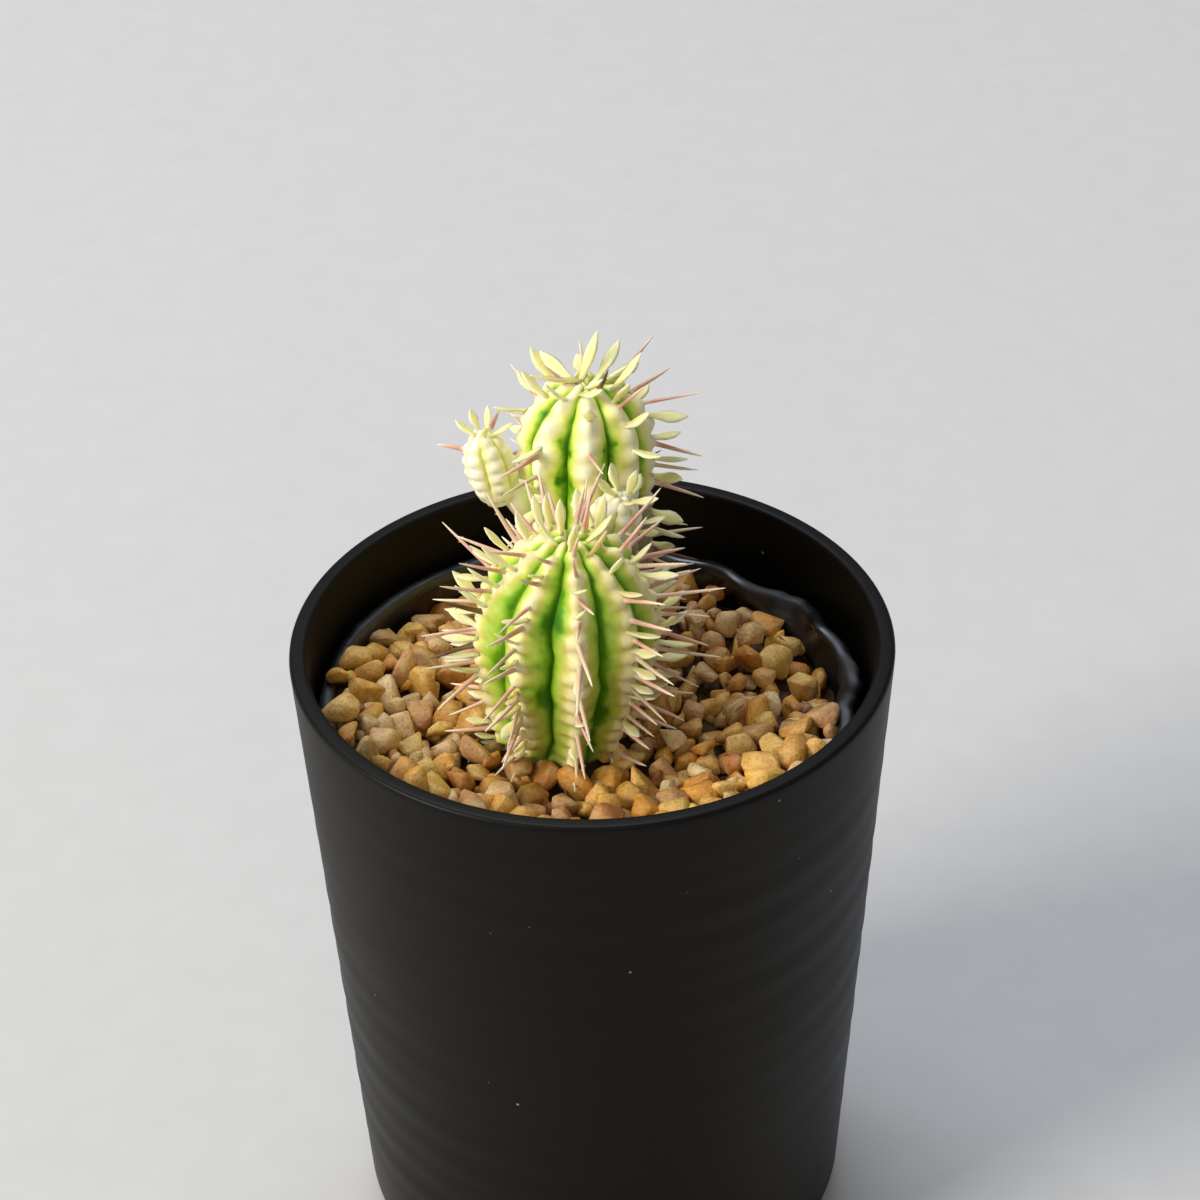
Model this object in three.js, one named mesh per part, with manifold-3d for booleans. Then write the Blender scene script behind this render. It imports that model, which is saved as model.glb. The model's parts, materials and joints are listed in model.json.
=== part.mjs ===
// A small variegated pincushion euphorbia in its nursery pot, which stands in a tapered black plastic pot.
// Millimetres, +Z up, origin at the centre of the pot's foot. Azimuth 0 faces -Y and grows towards +X.
import * as THREE from "three";
import { ConvexGeometry } from "three/addons/geometries/ConvexGeometry.js";
import { mergeVertices } from "three/addons/utils/BufferGeometryUtils.js";
import Module from "manifold-3d";

const wasm = await Module();
wasm.setup();

const GAP = 0.3; // air left between neighbouring pieces
const ROUND = 36; // sides of everything that is turned about the pot's axis
const TURN = 2 * Math.PI;
const degrees = THREE.MathUtils.degToRad;

// Outer pot: injection-moulded, tapered, with a thick flat rim and a rounded foot.
const POT = {
  rimRadius: 45,
  height: 108,
  footRadius: 38.2,
  wall: 2.6,
  floor: 3.4,
  bevel: 0.7,
  cornerRadius: 7,
  footRing: 3.2,
  footLift: 1.2,
};
const DRAIN = { radius: 3.6, circle: 18, count: 4, sides: 8 };

// Nursery pot: thin blow-moulded sheet with a turned-over lip.
const LINER = {
  top: 98.6,
  lipRadius: 41.3,
  lipDrop: 3,
  wallTop: 39.6,
  wallFoot: 31,
  sheet: 0.9,
};

// What fills the nursery pot.
const SOIL_TOP = 87.6;
const BED = { top: 93.1, slope: [-0.02, -0.07], heap: 3.8 };
const STONES = { pitch: 6.3, scatter: 0.7, smallest: 2.4, largest: 3.1, flatness: 0.78, corners: 6, sunk: 0.3 };
// Stones that lap over the nursery pot's lip, from the left round the front to the right.
const LIP_STONES = { radius: 38.9, count: 17, from: -104, to: 86 };

// Stems. top, base and column heights are measured from the pot's foot; base is where the stem leaves the gravel.
const FRONT = {
  seed: 1,
  at: [-4.9, -8.3],
  lean: 0.056,
  top: 130.8,
  base: 95.2,
  radius: 13.1,
  dome: 15.8,
  taper: 0.22,
  foot: 5,
  neck: 5.6,
  root: 15,
  ribs: 9,
  turn: 7,
  groove: 0.25,
  pitch: 4.5,
  spine: [8, 12.5],
  leaf: [4.4, 5.6],
  crownLeaf: 6.6,
  bareBelow: 0.22,
  lowSpines: 1,
};
const REAR = {
  seed: 2,
  at: [-1.1, 20],
  lean: 0.025,
  top: 139.6,
  base: 93.8,
  radius: 9.8,
  dome: 8.8,
  foot: 5,
  neck: 5.4,
  root: 15,
  ribs: 8,
  turn: 1,
  groove: 0.24,
  pitch: 5.4,
  spine: [5.5, 9.5],
  leaf: [4.4, 5.8],
  crownLeaf: 8.6,
  bareBelow: 0.5,
  lowSpines: 0.7,
};
// Side heads that grow out of the rear stem: at is the middle of the head, reach the point on the stem it grows from.
const HEADS = [
  { seed: 3, at: [-14.6, 19.2, 126.4], lean: [-0.2, 0.02, 1], from: [-7.5, 20, 117] },
  { seed: 4, at: [3.6, 7.6, 123.4], lean: [0.22, -0.3, 1], from: [1.2, 13.5, 115.5] },
];
const HEAD = {
  radius: 4.0,
  half: 5.4,
  neck: 2.2,
  stalkRadius: 2.6,
  ribs: 5,
  groove: 0.2,
  pitch: 3.8,
  spine: [3.2, 5],
  leaf: [3.6, 4.8],
  crownLeaf: 4.8,
};

const SPINE = { radius: 0.62, sunk: 1.4, sides: 3 };
const LEAF = { width: 1.7, thickness: 0.8, sunk: 1.2, sides: 4, above: 0.55 };
const FACETS_PER_RIB = 4;
const TUBERCLE = 0.45;
const SLIVER = 0.06; // flats finer than this are merged where repeats cross

const LOOKS = {
  pot: { color: 0x1d1c1d, roughness: 0.55 },
  liner: { color: 0x141416, roughness: 0.25 },
  soil: { color: 0x3a2a1d, roughness: 0.95 },
  gravel: { color: 0xb98f55, roughness: 0.85 },
  stem: { color: 0xb7cc62, roughness: 0.5 },
};

// A repeatable number from 0 to 1 for each triple of whole numbers.
function draw(a, b, c) {
  const wave = Math.sin(a * 12.9898 + b * 78.233 + c * 37.719) * 43758.5453;
  return wave - Math.floor(wave);
}

const between = (range, share) => THREE.MathUtils.lerp(range[0], range[1], share);

function solid(geometry) {
  const bare = geometry.clone();
  bare.deleteAttribute("normal");
  bare.deleteAttribute("uv");
  const merged = mergeVertices(bare, 1e-4);
  const made = new wasm.Manifold(
    new wasm.Mesh({
      numProp: 3,
      vertProperties: merged.attributes.position.array,
      triVerts: new Uint32Array(merged.index.array),
    }),
  );
  return made;
}

function mesh(name, body, look) {
  const { vertProperties, triVerts } = body.getMesh();
  const geometry = new THREE.BufferGeometry()
    .setAttribute("position", new THREE.BufferAttribute(vertProperties, 3))
    .setIndex(new THREE.BufferAttribute(triVerts, 1));
  const made = new THREE.Mesh(geometry, new THREE.MeshStandardMaterial({ metalness: 0, ...LOOKS[look] }));
  made.name = name;
  return made;
}

// A solid of revolution about +Z from [radius, height] pairs that run upwards on the outside.
function turned(profile, sides) {
  const points = profile.map(([radius, height]) => new THREE.Vector2(radius, height));
  return solid(new THREE.LatheGeometry(points, sides).rotateX(Math.PI / 2));
}

function arc(centre, radius, from, to, steps) {
  return Array.from({ length: steps + 1 }, (_, i) => {
    const angle = degrees(from + ((to - from) * i) / steps);
    return [centre[0] + radius * Math.cos(angle), centre[1] + radius * Math.sin(angle)];
  });
}

function upright(radius, bottom, top, sides) {
  return turned([[0, bottom], [radius, bottom], [radius, top], [0, top]], sides);
}

const potRadius = (z) => THREE.MathUtils.lerp(POT.footRadius, POT.rimRadius, z / POT.height);
const linerRadius = (z) => THREE.MathUtils.lerp(LINER.wallFoot, LINER.wallTop, (z - POT.floor) / (LINER.top - POT.floor));

function drainHoles(bottom, top) {
  const ring = Array.from({ length: DRAIN.count }, (_, i) => {
    const angle = (TURN * (i + 0.5)) / DRAIN.count;
    const hole = new THREE.CylinderGeometry(DRAIN.radius, DRAIN.radius, top - bottom, DRAIN.sides)
      .rotateX(Math.PI / 2)
      .translate(DRAIN.circle * Math.cos(angle), DRAIN.circle * Math.sin(angle), (top + bottom) / 2);
    return solid(hole);
  });
  return wasm.Manifold.union([upright(DRAIN.radius, bottom, top, DRAIN.sides), ...ring]);
}

function makePot() {
  const { height, wall, floor, bevel, cornerRadius, footRing, footLift } = POT;
  const footOuter = POT.footRadius - cornerRadius * 0.62;
  const inner = (z) => potRadius(z) - wall;
  const profile = [
    [0, footLift],
    [footOuter - footRing - footLift, footLift],
    [footOuter - footRing, 0],
    [footOuter, 0],
    ...arc([potRadius(cornerRadius) - cornerRadius, cornerRadius], cornerRadius, -62, 0, 3),
    [potRadius(height * 0.5), height * 0.5],
    [potRadius(height - bevel), height - bevel],
    [POT.rimRadius - bevel, height],
    [POT.rimRadius - wall + bevel, height],
    [inner(height - bevel), height - bevel],
    [inner(height * 0.5), height * 0.5],
    [inner(floor + 3), floor + 3],
    [inner(floor) - 3, floor],
    [0, floor],
  ];
  return turned(profile, ROUND).subtract(drainHoles(-1, floor + 1));
}

function makeLiner() {
  const { top, lipRadius, lipDrop, sheet } = LINER;
  const floor = POT.floor + GAP;
  const profile = [
    [0, floor],
    [linerRadius(floor) - 1.5, floor],
    [linerRadius(floor + 1.5), floor + 1.5],
    [linerRadius(top - lipDrop), top - lipDrop],
    [linerRadius(top - sheet), top - sheet],
    [lipRadius - sheet, top - sheet],
    [lipRadius - sheet, top - lipDrop],
    [lipRadius, top - lipDrop],
    [lipRadius, top - sheet / 2],
    [lipRadius - sheet / 2, top],
    [linerRadius(top) - sheet, top],
    [linerRadius(floor + 1.5) - sheet, floor + 1.5],
    [linerRadius(floor) - 1.5 - sheet / 2, floor + sheet],
    [0, floor + sheet],
  ];
  return turned(profile, ROUND).subtract(drainHoles(floor - 1, floor + sheet + 1));
}

// The crest line of a stem as radius and height: a dome, a flank that tapers downwards, a round heel and the neck.
function crestLine({ top, base, radius, dome, foot, neck, taper = 0 }) {
  const waist = top - dome;
  const heelTop = base + foot;
  const flank = (z) => radius - (taper * (waist - z) ** 2) / (waist - z + 2);
  const crown = arc([0, 0], 1, 84, 0, 7).map(([r, h]) => [radius * r ** 0.92, waist + dome * h]);
  const side = [0.35, 0.7].map((share) => THREE.MathUtils.lerp(waist, heelTop, share)).map((z) => [flank(z), z]);
  const heel = arc([0, 0], 1, 0, -84, 5).map(([r, h]) => {
    const z = heelTop + foot * h;
    return [neck + (flank(z) - neck) * r ** 0.8, z];
  });
  const points = [
    [0, top - 0.9],
    ...crown,
    ...(waist > heelTop ? side : []),
    ...heel,
    [neck * 0.8, base - 2],
    [0, base - 2.4],
  ];
  return new THREE.SplineCurve(points.map(([r, h]) => new THREE.Vector2(Math.max(r, 0), h)));
}

// How far the ribs stand out at a height: full on the stem, none on the root.
const ribStrength = (stem, z) => THREE.MathUtils.smoothstep(z, stem.base + 0.5, stem.base + 4);

const ringCount = (stem, line) => Math.round(line.getLength() / (stem.pitch / 2));

function ribbedBody(stem) {
  const line = crestLine(stem);
  const rings = ringCount(stem, line);
  const points = line.getSpacedPoints(rings);
  points[0].x = 0;
  points[rings].x = 0;
  const geometry = new THREE.LatheGeometry(points.reverse(), stem.ribs * FACETS_PER_RIB).rotateX(Math.PI / 2);
  const { position } = geometry.attributes;
  for (let i = 0; i < position.count; i += 1) {
    const ring = rings - (i % (rings + 1));
    const column = Math.floor(i / (rings + 1)) % (stem.ribs * FACETS_PER_RIB);
    const rib = Math.floor((column + FACETS_PER_RIB / 2) / FACETS_PER_RIB) % stem.ribs;
    const fromCrest = Math.abs(((column + FACETS_PER_RIB / 2) % FACETS_PER_RIB) - FACETS_PER_RIB / 2);
    const share = (2 * fromCrest) / FACETS_PER_RIB;
    const strength = ribStrength(stem, position.getZ(i));
    const radius = Math.hypot(position.getX(i), position.getY(i));
    if (radius < 1e-6) continue;
    const knob = fromCrest === 0 && (ring + rib) % 2 === 0 ? TUBERCLE : 0;
    const wanted = radius * (1 - stem.groove * share ** 1.5 * strength) + knob * strength;
    position.setX(i, (position.getX(i) * wanted) / radius);
    position.setY(i, (position.getY(i) * wanted) / radius);
  }
  return geometry.rotateZ(degrees(stem.turn));
}

// Every node on the crests: where it is, which way it faces, and its number down the rib.
function nodesOn(stem) {
  const line = crestLine(stem);
  const rings = ringCount(stem, line);
  const nodes = [];
  for (let rib = 0; rib < stem.ribs; rib += 1) {
    const azimuth = degrees(stem.turn) + (TURN * rib) / stem.ribs;
    for (let ring = 1 + ((rib + 1) % 2); ring < rings; ring += 2) {
      const point = line.getPointAt(ring / rings);
      if (point.y < stem.base + 1.6) break;
      const tangent = line.getTangentAt(ring / rings);
      const above = line.getPointAt((ring - LEAF.above) / rings);
      nodes.push({ rib, ring, azimuth, point, above, facing: Math.atan2(tangent.x, -tangent.y) });
    }
  }
  return nodes;
}

// Stands a stem's geometry in its place, leaning to the right above its base.
function stand(geometry, stem) {
  const { position } = geometry.attributes;
  const [x, y] = stem.at;
  for (let i = 0; i < position.count; i += 1) {
    const z = position.getZ(i);
    position.setX(i, position.getX(i) + x + stem.lean * Math.max(0, z - stem.base));
    position.setY(i, position.getY(i) + y);
  }
  return geometry;
}

// Moves a shape that grows along +Z to a crest point, and points it by azimuth and by height above the horizon.
function grow(geometry, stem, point, crestAzimuth, azimuth, rise) {
  const way = new THREE.Vector3(
    Math.sin(azimuth) * Math.cos(rise),
    -Math.cos(azimuth) * Math.cos(rise),
    Math.sin(rise),
  );
  const across = new THREE.Vector3(Math.cos(azimuth), Math.sin(azimuth), 0);
  const flat = new THREE.Vector3().crossVectors(way, across);
  const grown = geometry
    .applyMatrix4(new THREE.Matrix4().makeBasis(across, flat, way))
    .translate(point.x * Math.sin(crestAzimuth), -point.x * Math.cos(crestAzimuth), point.y);
  return stem.at ? stand(grown, stem) : grown;
}

function spineShape(length) {
  const { radius, sunk, sides } = SPINE;
  return new THREE.ConeGeometry(radius, length + sunk, sides)
    .rotateX(Math.PI / 2)
    .translate(0, 0, (length - sunk) / 2);
}

function leafShape(length) {
  const { width, thickness, sunk, sides } = LEAF;
  const points = [[0, -sunk], [width / 2, length * 0.45], [0, length]];
  return new THREE.LatheGeometry(points.map((p) => new THREE.Vector2(...p)), sides)
    .rotateX(Math.PI / 2)
    .scale(1, thickness / width, 1);
}

// Grows one spine and one leaf at each node, bending each clear of what stands round it.
function armour(stem, others) {
  const clear = (piece) => others.every((other) => piece.minGap(other, 2 * GAP) > GAP);
  const grown = [];
  const bends = [0, 12, 24, 36, 50];
  const add = (shape, point, crest, azimuth, rise) => {
    for (const bend of bends) {
      const piece = solid(grow(shape.clone(), stem, point, crest, azimuth, rise + degrees(bend)));
      if (!clear(piece)) continue;
      grown.push(piece);
      return;
    }
  };
  for (const node of nodesOn(stem)) {
    const { rib, ring, azimuth, facing } = node;
    const luck = (turn) => draw(stem.seed * 7 + turn, rib, ring);
    const share = (node.point.y - stem.base) / (stem.top - stem.base);
    const crown = ring <= 2;
    const rise = facing * 0.85;
    const side = degrees(12);
    if (crown ? luck(1) < 0.5 : share > 0.5 || luck(9) < stem.lowSpines) {
      const length = between(stem.spine, 0.45 * luck(2) + 0.55 * share) * (crown ? 0.6 : 1);
      const way = azimuth + side * (2 * luck(3) - 1);
      add(spineShape(length), node.point, azimuth, way, rise + degrees(9 * (2 * luck(4) - 1)));
    }
    if (share > stem.bareBelow || luck(5) < 0.15) {
      const length = crown ? stem.crownLeaf * (0.75 + 0.25 * luck(6)) : between(stem.leaf, luck(6));
      const lift = degrees(14 + 8 * luck(8));
      add(leafShape(length), node.above, azimuth, azimuth + side * (2 * luck(7) - 1), rise + lift);
    }
  }
  return grown;
}

function stemAt(stem) {
  const { neck, root, base } = stem;
  const taproot = new THREE.CylinderGeometry(neck * 0.8, neck * 0.3, root, 12)
    .rotateX(Math.PI / 2)
    .translate(0, 0, base - root / 2);
  return solid(stand(ribbedBody(stem), stem)).add(solid(stand(taproot, stem)));
}

// A side head stands on a short stalk that is rooted in the rear stem.
function headStem(head) {
  return {
    ...HEAD,
    seed: head.seed,
    top: HEAD.half,
    base: -HEAD.half,
    dome: HEAD.half,
    foot: HEAD.half,
    root: 2,
    turn: 20,
    bareBelow: 0,
  };
}

function headFrame(head) {
  const up = new THREE.Vector3(...head.lean).normalize();
  const turn = new THREE.Quaternion().setFromUnitVectors(new THREE.Vector3(0, 0, 1), up);
  return new THREE.Matrix4().compose(new THREE.Vector3(...head.at), turn, new THREE.Vector3(1, 1, 1));
}

function stalk(head) {
  const [from, to] = [head.from, head.at].map((p) => new THREE.Vector3(...p));
  const way = to.clone().sub(from);
  const tube = new THREE.CylinderGeometry(HEAD.stalkRadius * 1.2, HEAD.stalkRadius * 0.8, way.length(), 8)
    .rotateX(Math.PI / 2)
    .applyQuaternion(new THREE.Quaternion().setFromUnitVectors(new THREE.Vector3(0, 0, 1), way.clone().normalize()))
    .translate(...from.clone().add(way.multiplyScalar(0.5)).toArray());
  return solid(tube);
}

function headBody(head) {
  return solid(ribbedBody(headStem(head)).applyMatrix4(headFrame(head)));
}

function headArmour(head, others) {
  const frame = headFrame(head);
  const stem = headStem(head);
  const clear = (piece) => others.every((other) => piece.minGap(other, 2 * GAP) > GAP);
  const grown = [];
  for (const { rib, ring, azimuth, facing, point } of nodesOn(stem)) {
    const luck = (turn) => draw(stem.seed * 7 + turn, rib, ring);
    const length = ring <= 2 ? stem.crownLeaf : between(stem.leaf, luck(6));
    const leaf = grow(leafShape(length), stem, point, azimuth, azimuth, facing * 0.85 + degrees(8));
    const spine = grow(spineShape(between(stem.spine, luck(2))), stem, point, azimuth, azimuth, facing * 0.8);
    const wanted = ring % 4 < 2 ? [leaf] : [leaf, spine];
    grown.push(...wanted.map((shape) => solid(shape.applyMatrix4(frame))).filter(clear));
  }
  return grown;
}

// Angular grit: the hull of a few scattered points, so each stone has its own flat faces.
function stone(index, size) {
  const points = Array.from({ length: STONES.corners }, (_, i) => {
    const height = 1 - (2 * i + 1) / STONES.corners;
    const around = 2.4 * i + TURN * draw(index, i, 11) * 0.12;
    const flat = Math.sqrt(1 - height * height);
    const reach = size * (0.82 + 0.3 * draw(index, i, 12));
    return new THREE.Vector3(flat * Math.cos(around), flat * Math.sin(around), height * STONES.flatness)
      .multiplyScalar(reach);
  });
  return new ConvexGeometry(points)
    .rotateX(0.5 * (draw(index, 3, 13) - 0.5))
    .rotateY(0.5 * (draw(index, 4, 14) - 0.5))
    .rotateZ(TURN * draw(index, 5, 15));
}

function gravelStones() {
  const { pitch, scatter, smallest, largest, sunk } = STONES;
  const reach = linerRadius(BED.top) - LINER.sheet - GAP - smallest * 0.72;
  const rows = Math.ceil(reach / (pitch * 0.866));
  const stones = [];
  const add = (index, x, y) => {
    const size = between([smallest, largest], draw(index, 6, 18));
    stones.push(stone(index, size).translate(x, y, BED.top + size * sunk + 0.5 * draw(index, 7, 19)));
  };
  for (let row = -rows; row <= rows; row += 1) {
    for (let column = -rows - 1; column <= rows + 1; column += 1) {
      const index = (row + 40) * 97 + column + 40;
      const x = (column + (row % 2 ? 0.5 : 0)) * pitch + scatter * (2 * draw(index, 1, 16) - 1);
      const y = row * pitch * 0.866 + scatter * (2 * draw(index, 2, 17) - 1);
      const out = Math.hypot(x, y);
      if (out > reach + pitch / 2) continue;
      const pull = Math.min(1, reach / out);
      add(index, x * pull, y * pull);
    }
  }
  for (let i = 0; i < LIP_STONES.count; i += 1) {
    const { radius, count, from, to } = LIP_STONES;
    const angle = degrees(THREE.MathUtils.lerp(from, to, i / (count - 1)));
    add(9000 + i, radius * Math.sin(angle), -radius * Math.cos(angle));
  }
  return stones;
}

// How far the gravel stands above its mean level: it falls away to the back and is heaped against the wall in front.
function gravelRise(x, y) {
  const turn = THREE.MathUtils.radToDeg(Math.atan2(x, -y));
  const { smoothstep } = THREE.MathUtils;
  const window = smoothstep(turn, LIP_STONES.from - 15, LIP_STONES.from + 10) * (1 - smoothstep(turn, LIP_STONES.to - 10, LIP_STONES.to + 15));
  return BED.slope[0] * x + BED.slope[1] * y + BED.heap * window * smoothstep(Math.hypot(x, y), 28, 40);
}

// The room a stem takes in soil and gravel: a plain hole that flares where the stem swells.
function socket(stem) {
  const { at, base, root, neck, radius, top } = stem;
  const room = GAP + 0.9;
  const bottom = base - root - GAP;
  const swell = crestLine(stem).getSpacedPoints(14).reverse()
    .filter(({ y }) => y > base - 1.5 && y < base + 7)
    .map(({ x, y }) => [x + room, y - 0.3]);
  const hole = [[0, bottom], [neck * 0.8 + room, bottom], [neck * 0.8 + room, base - 2.4 - room], ...swell];
  return turned([...hole, [radius + room, base + 9], [radius + room, top], [0, top]], 16).translate(at[0], at[1], 0);
}

function largest(body) {
  return body.decompose().sort((a, b) => b.volume() - a.volume())[0];
}

function makeSoil(sockets) {
  const inner = (z) => linerRadius(z) - LINER.sheet - GAP;
  const floor = POT.floor + GAP + LINER.sheet + GAP;
  const profile = [
    [0, floor],
    [inner(floor) - 1.6, floor],
    [inner(floor + 1.8), floor + 1.8],
    [inner(SOIL_TOP), SOIL_TOP],
    [0, SOIL_TOP],
  ];
  return largest(turned(profile, ROUND).subtract(sockets));
}

function makeGravel(sockets) {
  const inner = (z) => linerRadius(z) - LINER.sheet - GAP;
  const bottom = SOIL_TOP + GAP;
  const lip = LINER.top + GAP;
  const room = turned(
    [
      [0, bottom],
      [inner(bottom), bottom],
      [inner(lip), lip],
      [potRadius(lip) - POT.wall - GAP, lip],
      [POT.rimRadius - POT.wall - GAP, POT.height],
      [0, POT.height],
    ],
    ROUND,
  );
  const bed = upright(POT.rimRadius, SOIL_TOP - 10, BED.top, ROUND);
  const heap = wasm.Manifold.union([bed, ...gravelStones().map(solid)]).warp((point) => {
    point[2] += gravelRise(point[0], point[1]);
  });
  return largest(heap.intersect(room).subtract(sockets)).simplify(SLIVER);
}

const pot = makePot();
const liner = makeLiner();
const sockets = wasm.Manifold.union([socket(FRONT), socket(REAR)]);
const soil = makeSoil(sockets);
const gravel = makeGravel(sockets);

const holders = [pot, liner, gravel];
const rearBody = wasm.Manifold.union([stemAt(REAR), ...HEADS.flatMap((head) => [stalk(head), headBody(head)])]);
const frontStem = wasm.Manifold.union([stemAt(FRONT), ...armour(FRONT, [...holders, rearBody])]).simplify(SLIVER);
const rearStem = wasm.Manifold.union([
  rearBody,
  ...armour(REAR, [...holders, frontStem]),
  ...HEADS.flatMap((head) => headArmour(head, [...holders, frontStem])),
]).simplify(SLIVER);

const plant = new THREE.Group();
plant.add(mesh("stem_front", frontStem, "stem"), mesh("stem_rear", rearStem, "stem"));

const potted = new THREE.Group();
potted.add(mesh("pot", pot, "pot"), mesh("nursery_pot", liner, "liner"));
potted.add(mesh("potting_mix", soil, "soil"), mesh("gravel", gravel, "gravel"), plant);

export default potted;
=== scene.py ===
# %% [markdown]
# # A variegated pincushion euphorbia in two pots
# The plant is a small desert succulent. Its stems are ribbed barrels, each bump on a rib carries a fleshy leaf and
# a woody spine, and the skin is cream on the ridges and green in the furrows. It stands in grit in a thin nursery
# pot, and that pot stands in a thicker black one.
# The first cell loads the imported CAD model, which fixes every size and place. Blender works in metres, so lengths
# below are written in millimetres and multiplied by `mm`.

# %% Load the frame
import json
import math
import random

import bmesh
import bpy
from mathutils import Matrix, Vector, noise

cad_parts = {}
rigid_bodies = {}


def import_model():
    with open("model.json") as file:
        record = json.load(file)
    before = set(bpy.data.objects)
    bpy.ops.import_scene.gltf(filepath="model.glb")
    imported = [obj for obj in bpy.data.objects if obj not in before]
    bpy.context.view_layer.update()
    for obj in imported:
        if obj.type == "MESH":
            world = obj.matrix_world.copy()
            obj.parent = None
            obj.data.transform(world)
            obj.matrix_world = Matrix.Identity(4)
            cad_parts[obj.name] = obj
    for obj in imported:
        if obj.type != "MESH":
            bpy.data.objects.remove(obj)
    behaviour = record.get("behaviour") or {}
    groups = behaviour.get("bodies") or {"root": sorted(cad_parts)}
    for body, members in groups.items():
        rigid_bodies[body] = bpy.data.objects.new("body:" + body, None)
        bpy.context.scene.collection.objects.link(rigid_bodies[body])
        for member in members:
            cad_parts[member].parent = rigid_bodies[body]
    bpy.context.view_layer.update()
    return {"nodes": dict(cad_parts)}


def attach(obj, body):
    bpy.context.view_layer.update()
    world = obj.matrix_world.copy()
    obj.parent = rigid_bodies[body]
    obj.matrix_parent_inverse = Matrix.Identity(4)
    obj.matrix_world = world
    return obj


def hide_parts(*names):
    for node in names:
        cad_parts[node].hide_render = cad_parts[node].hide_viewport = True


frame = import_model()
mm = 0.001
TURN = 2 * math.pi

# %% [markdown]
# ## The camera
# The photograph was taken from in front and well above, at about half a metre. The distance, height, lens and the
# slight tilt of the camera come from matching the rim's ellipse and the taper of the wall.

# %% Place the camera
RIM = Vector((0, 0, 108 * mm))
CAMERA = {"distance": 480 * mm, "height_angle": 35.8, "tilt": -1.31, "lens": 96.95, "aim": (1.33 * mm, 0, 6.73 * mm)}

rise = math.radians(CAMERA["height_angle"])
eye = RIM + CAMERA["distance"] * Vector((0, -math.cos(rise), math.sin(rise)))
forward = (RIM + Vector(CAMERA["aim"]) - eye).normalized()
right = forward.cross(Vector((0, 0, 1))).normalized()
right = Matrix.Rotation(math.radians(-CAMERA["tilt"]), 3, forward) @ right
up = right.cross(forward)
camera = bpy.data.objects.new("camera", bpy.data.cameras.new("camera"))
camera.data.sensor_width = 36
camera.data.lens = CAMERA["lens"]
camera.data.clip_start = 0.01
camera.matrix_world = Matrix.Translation(eye) @ Matrix((right, up, -forward)).transposed().to_4x4()
bpy.context.collection.objects.link(camera)
bpy.context.scene.camera = camera
print("camera at", [round(value, 3) for value in eye])

# %% [markdown]
# ## Colour and node helpers
# Colours are picked on screen, so they are written as sRGB hex values. Blender's shaders want linear light, and
# `linear` converts them.
# A node tree is a long list of nodes and links. `add` makes one node: its kind is the class name without the prefix,
# followed by its operation if it has one. Inputs are given in order, or by name with a capital letter, and settings in
# lower case. So `add(tree, "MapRange", height, 0, 1, 5, 9)` takes a value from 0 to 1 and gives 5 to 9.

# %% Colour and node helpers
def linear(hex_colour):
    """Turns an sRGB hex colour into linear RGBA."""
    parts = [int(hex_colour[i : i + 2], 16) / 255 for i in (1, 3, 5)]
    return tuple(c / 12.92 if c <= 0.04045 else ((c + 0.055) / 1.055) ** 2.4 for c in parts) + (1.0,)


def plug(tree, node, *inputs, **named):
    """Fills a node's inputs, in order or by name, with numbers, nodes or sockets."""
    sockets = [socket for socket in node.inputs if socket.enabled]
    for key, value in [*enumerate(inputs), *named.items()]:
        socket = sockets[key] if isinstance(key, int) else next(s for s in sockets if s.name == key.replace("_", " "))
        if isinstance(value, bpy.types.Node):
            value = next(output for output in value.outputs if output.enabled)
        if isinstance(value, bpy.types.NodeSocket):
            tree.links.new(value, socket)
        else:
            socket.default_value = value


def add(tree, kind, *inputs, stops=(), **named):
    """Adds a node with its settings, its inputs and, on a colour ramp, its (position, hex colour) stops."""
    kind, _, operation = kind.partition(" ")
    prefixes = ("ShaderNode", "") if tree.type == "SHADER" else ("GeometryNode", "ShaderNode", "FunctionNode", "")
    node = tree.nodes.new(next(prefix for prefix in prefixes if hasattr(bpy.types, prefix + kind)) + kind)
    if operation:
        node.operation = operation
    for name in [name for name in named if name.islower()]:
        setattr(node, name, named.pop(name))
    while stops and len(node.color_ramp.elements) < len(stops):
        node.color_ramp.elements.new(0.5)
    for i, (position, colour) in enumerate(stops):
        node.color_ramp.elements[i].position = position
        node.color_ramp.elements[i].color = linear(colour)
    plug(tree, node, *inputs, **named)
    return node


def new_material(name, **constants):
    """Starts a material. Returns it, its tree, its main shader and the place on the object that patterns read."""
    material = bpy.data.materials.new(name)
    material.use_nodes = True
    tree = material.node_tree
    shader = tree.nodes["Principled BSDF"]
    plug(tree, shader, **constants)
    return material, tree, shader, add(tree, "TexCoord").outputs["Object"]


print("mid grey in linear light:", round(linear("#808080")[0], 3))

# %% [markdown]
# ## Floor and light
# The object stands on a plain pale floor in soft daylight. A window to the left and a little in front gives the
# bright left flanks, a broad light from above and behind lights the rim and the crowns, and a weak fill keeps the
# inside of the pot readable. They stand about two metres off, so that no hot spot falls on the floor.

# %% Studio
def soft_light(name, place, target, size, power, colour):
    """Adds a square soft light that faces a target point."""
    light = bpy.data.lights.new(name, "AREA")
    light.shape = "SQUARE"
    light.size = size
    light.energy = power
    light.color = linear(colour)[:3]
    lamp = bpy.data.objects.new(name, light)
    lamp.location = place
    lamp.rotation_euler = (Vector(target) - Vector(place)).to_track_quat("-Z", "Y").to_euler()
    bpy.context.collection.objects.link(lamp)


soft_light("window", (-1.8, -0.84, 1.25), (0, 0, 0.11), 1.0, 50.0, "#FFFAF0")
soft_light("sky", (-0.3, 0.85, 2.1), (0, 0, 0.1), 1.3, 30.0, "#E8F0FF")
soft_light("fill", (0.2, -1.8, 1.4), (0, 0, 0.1), 1.0, 3.6, "#FFFDF8")

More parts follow.
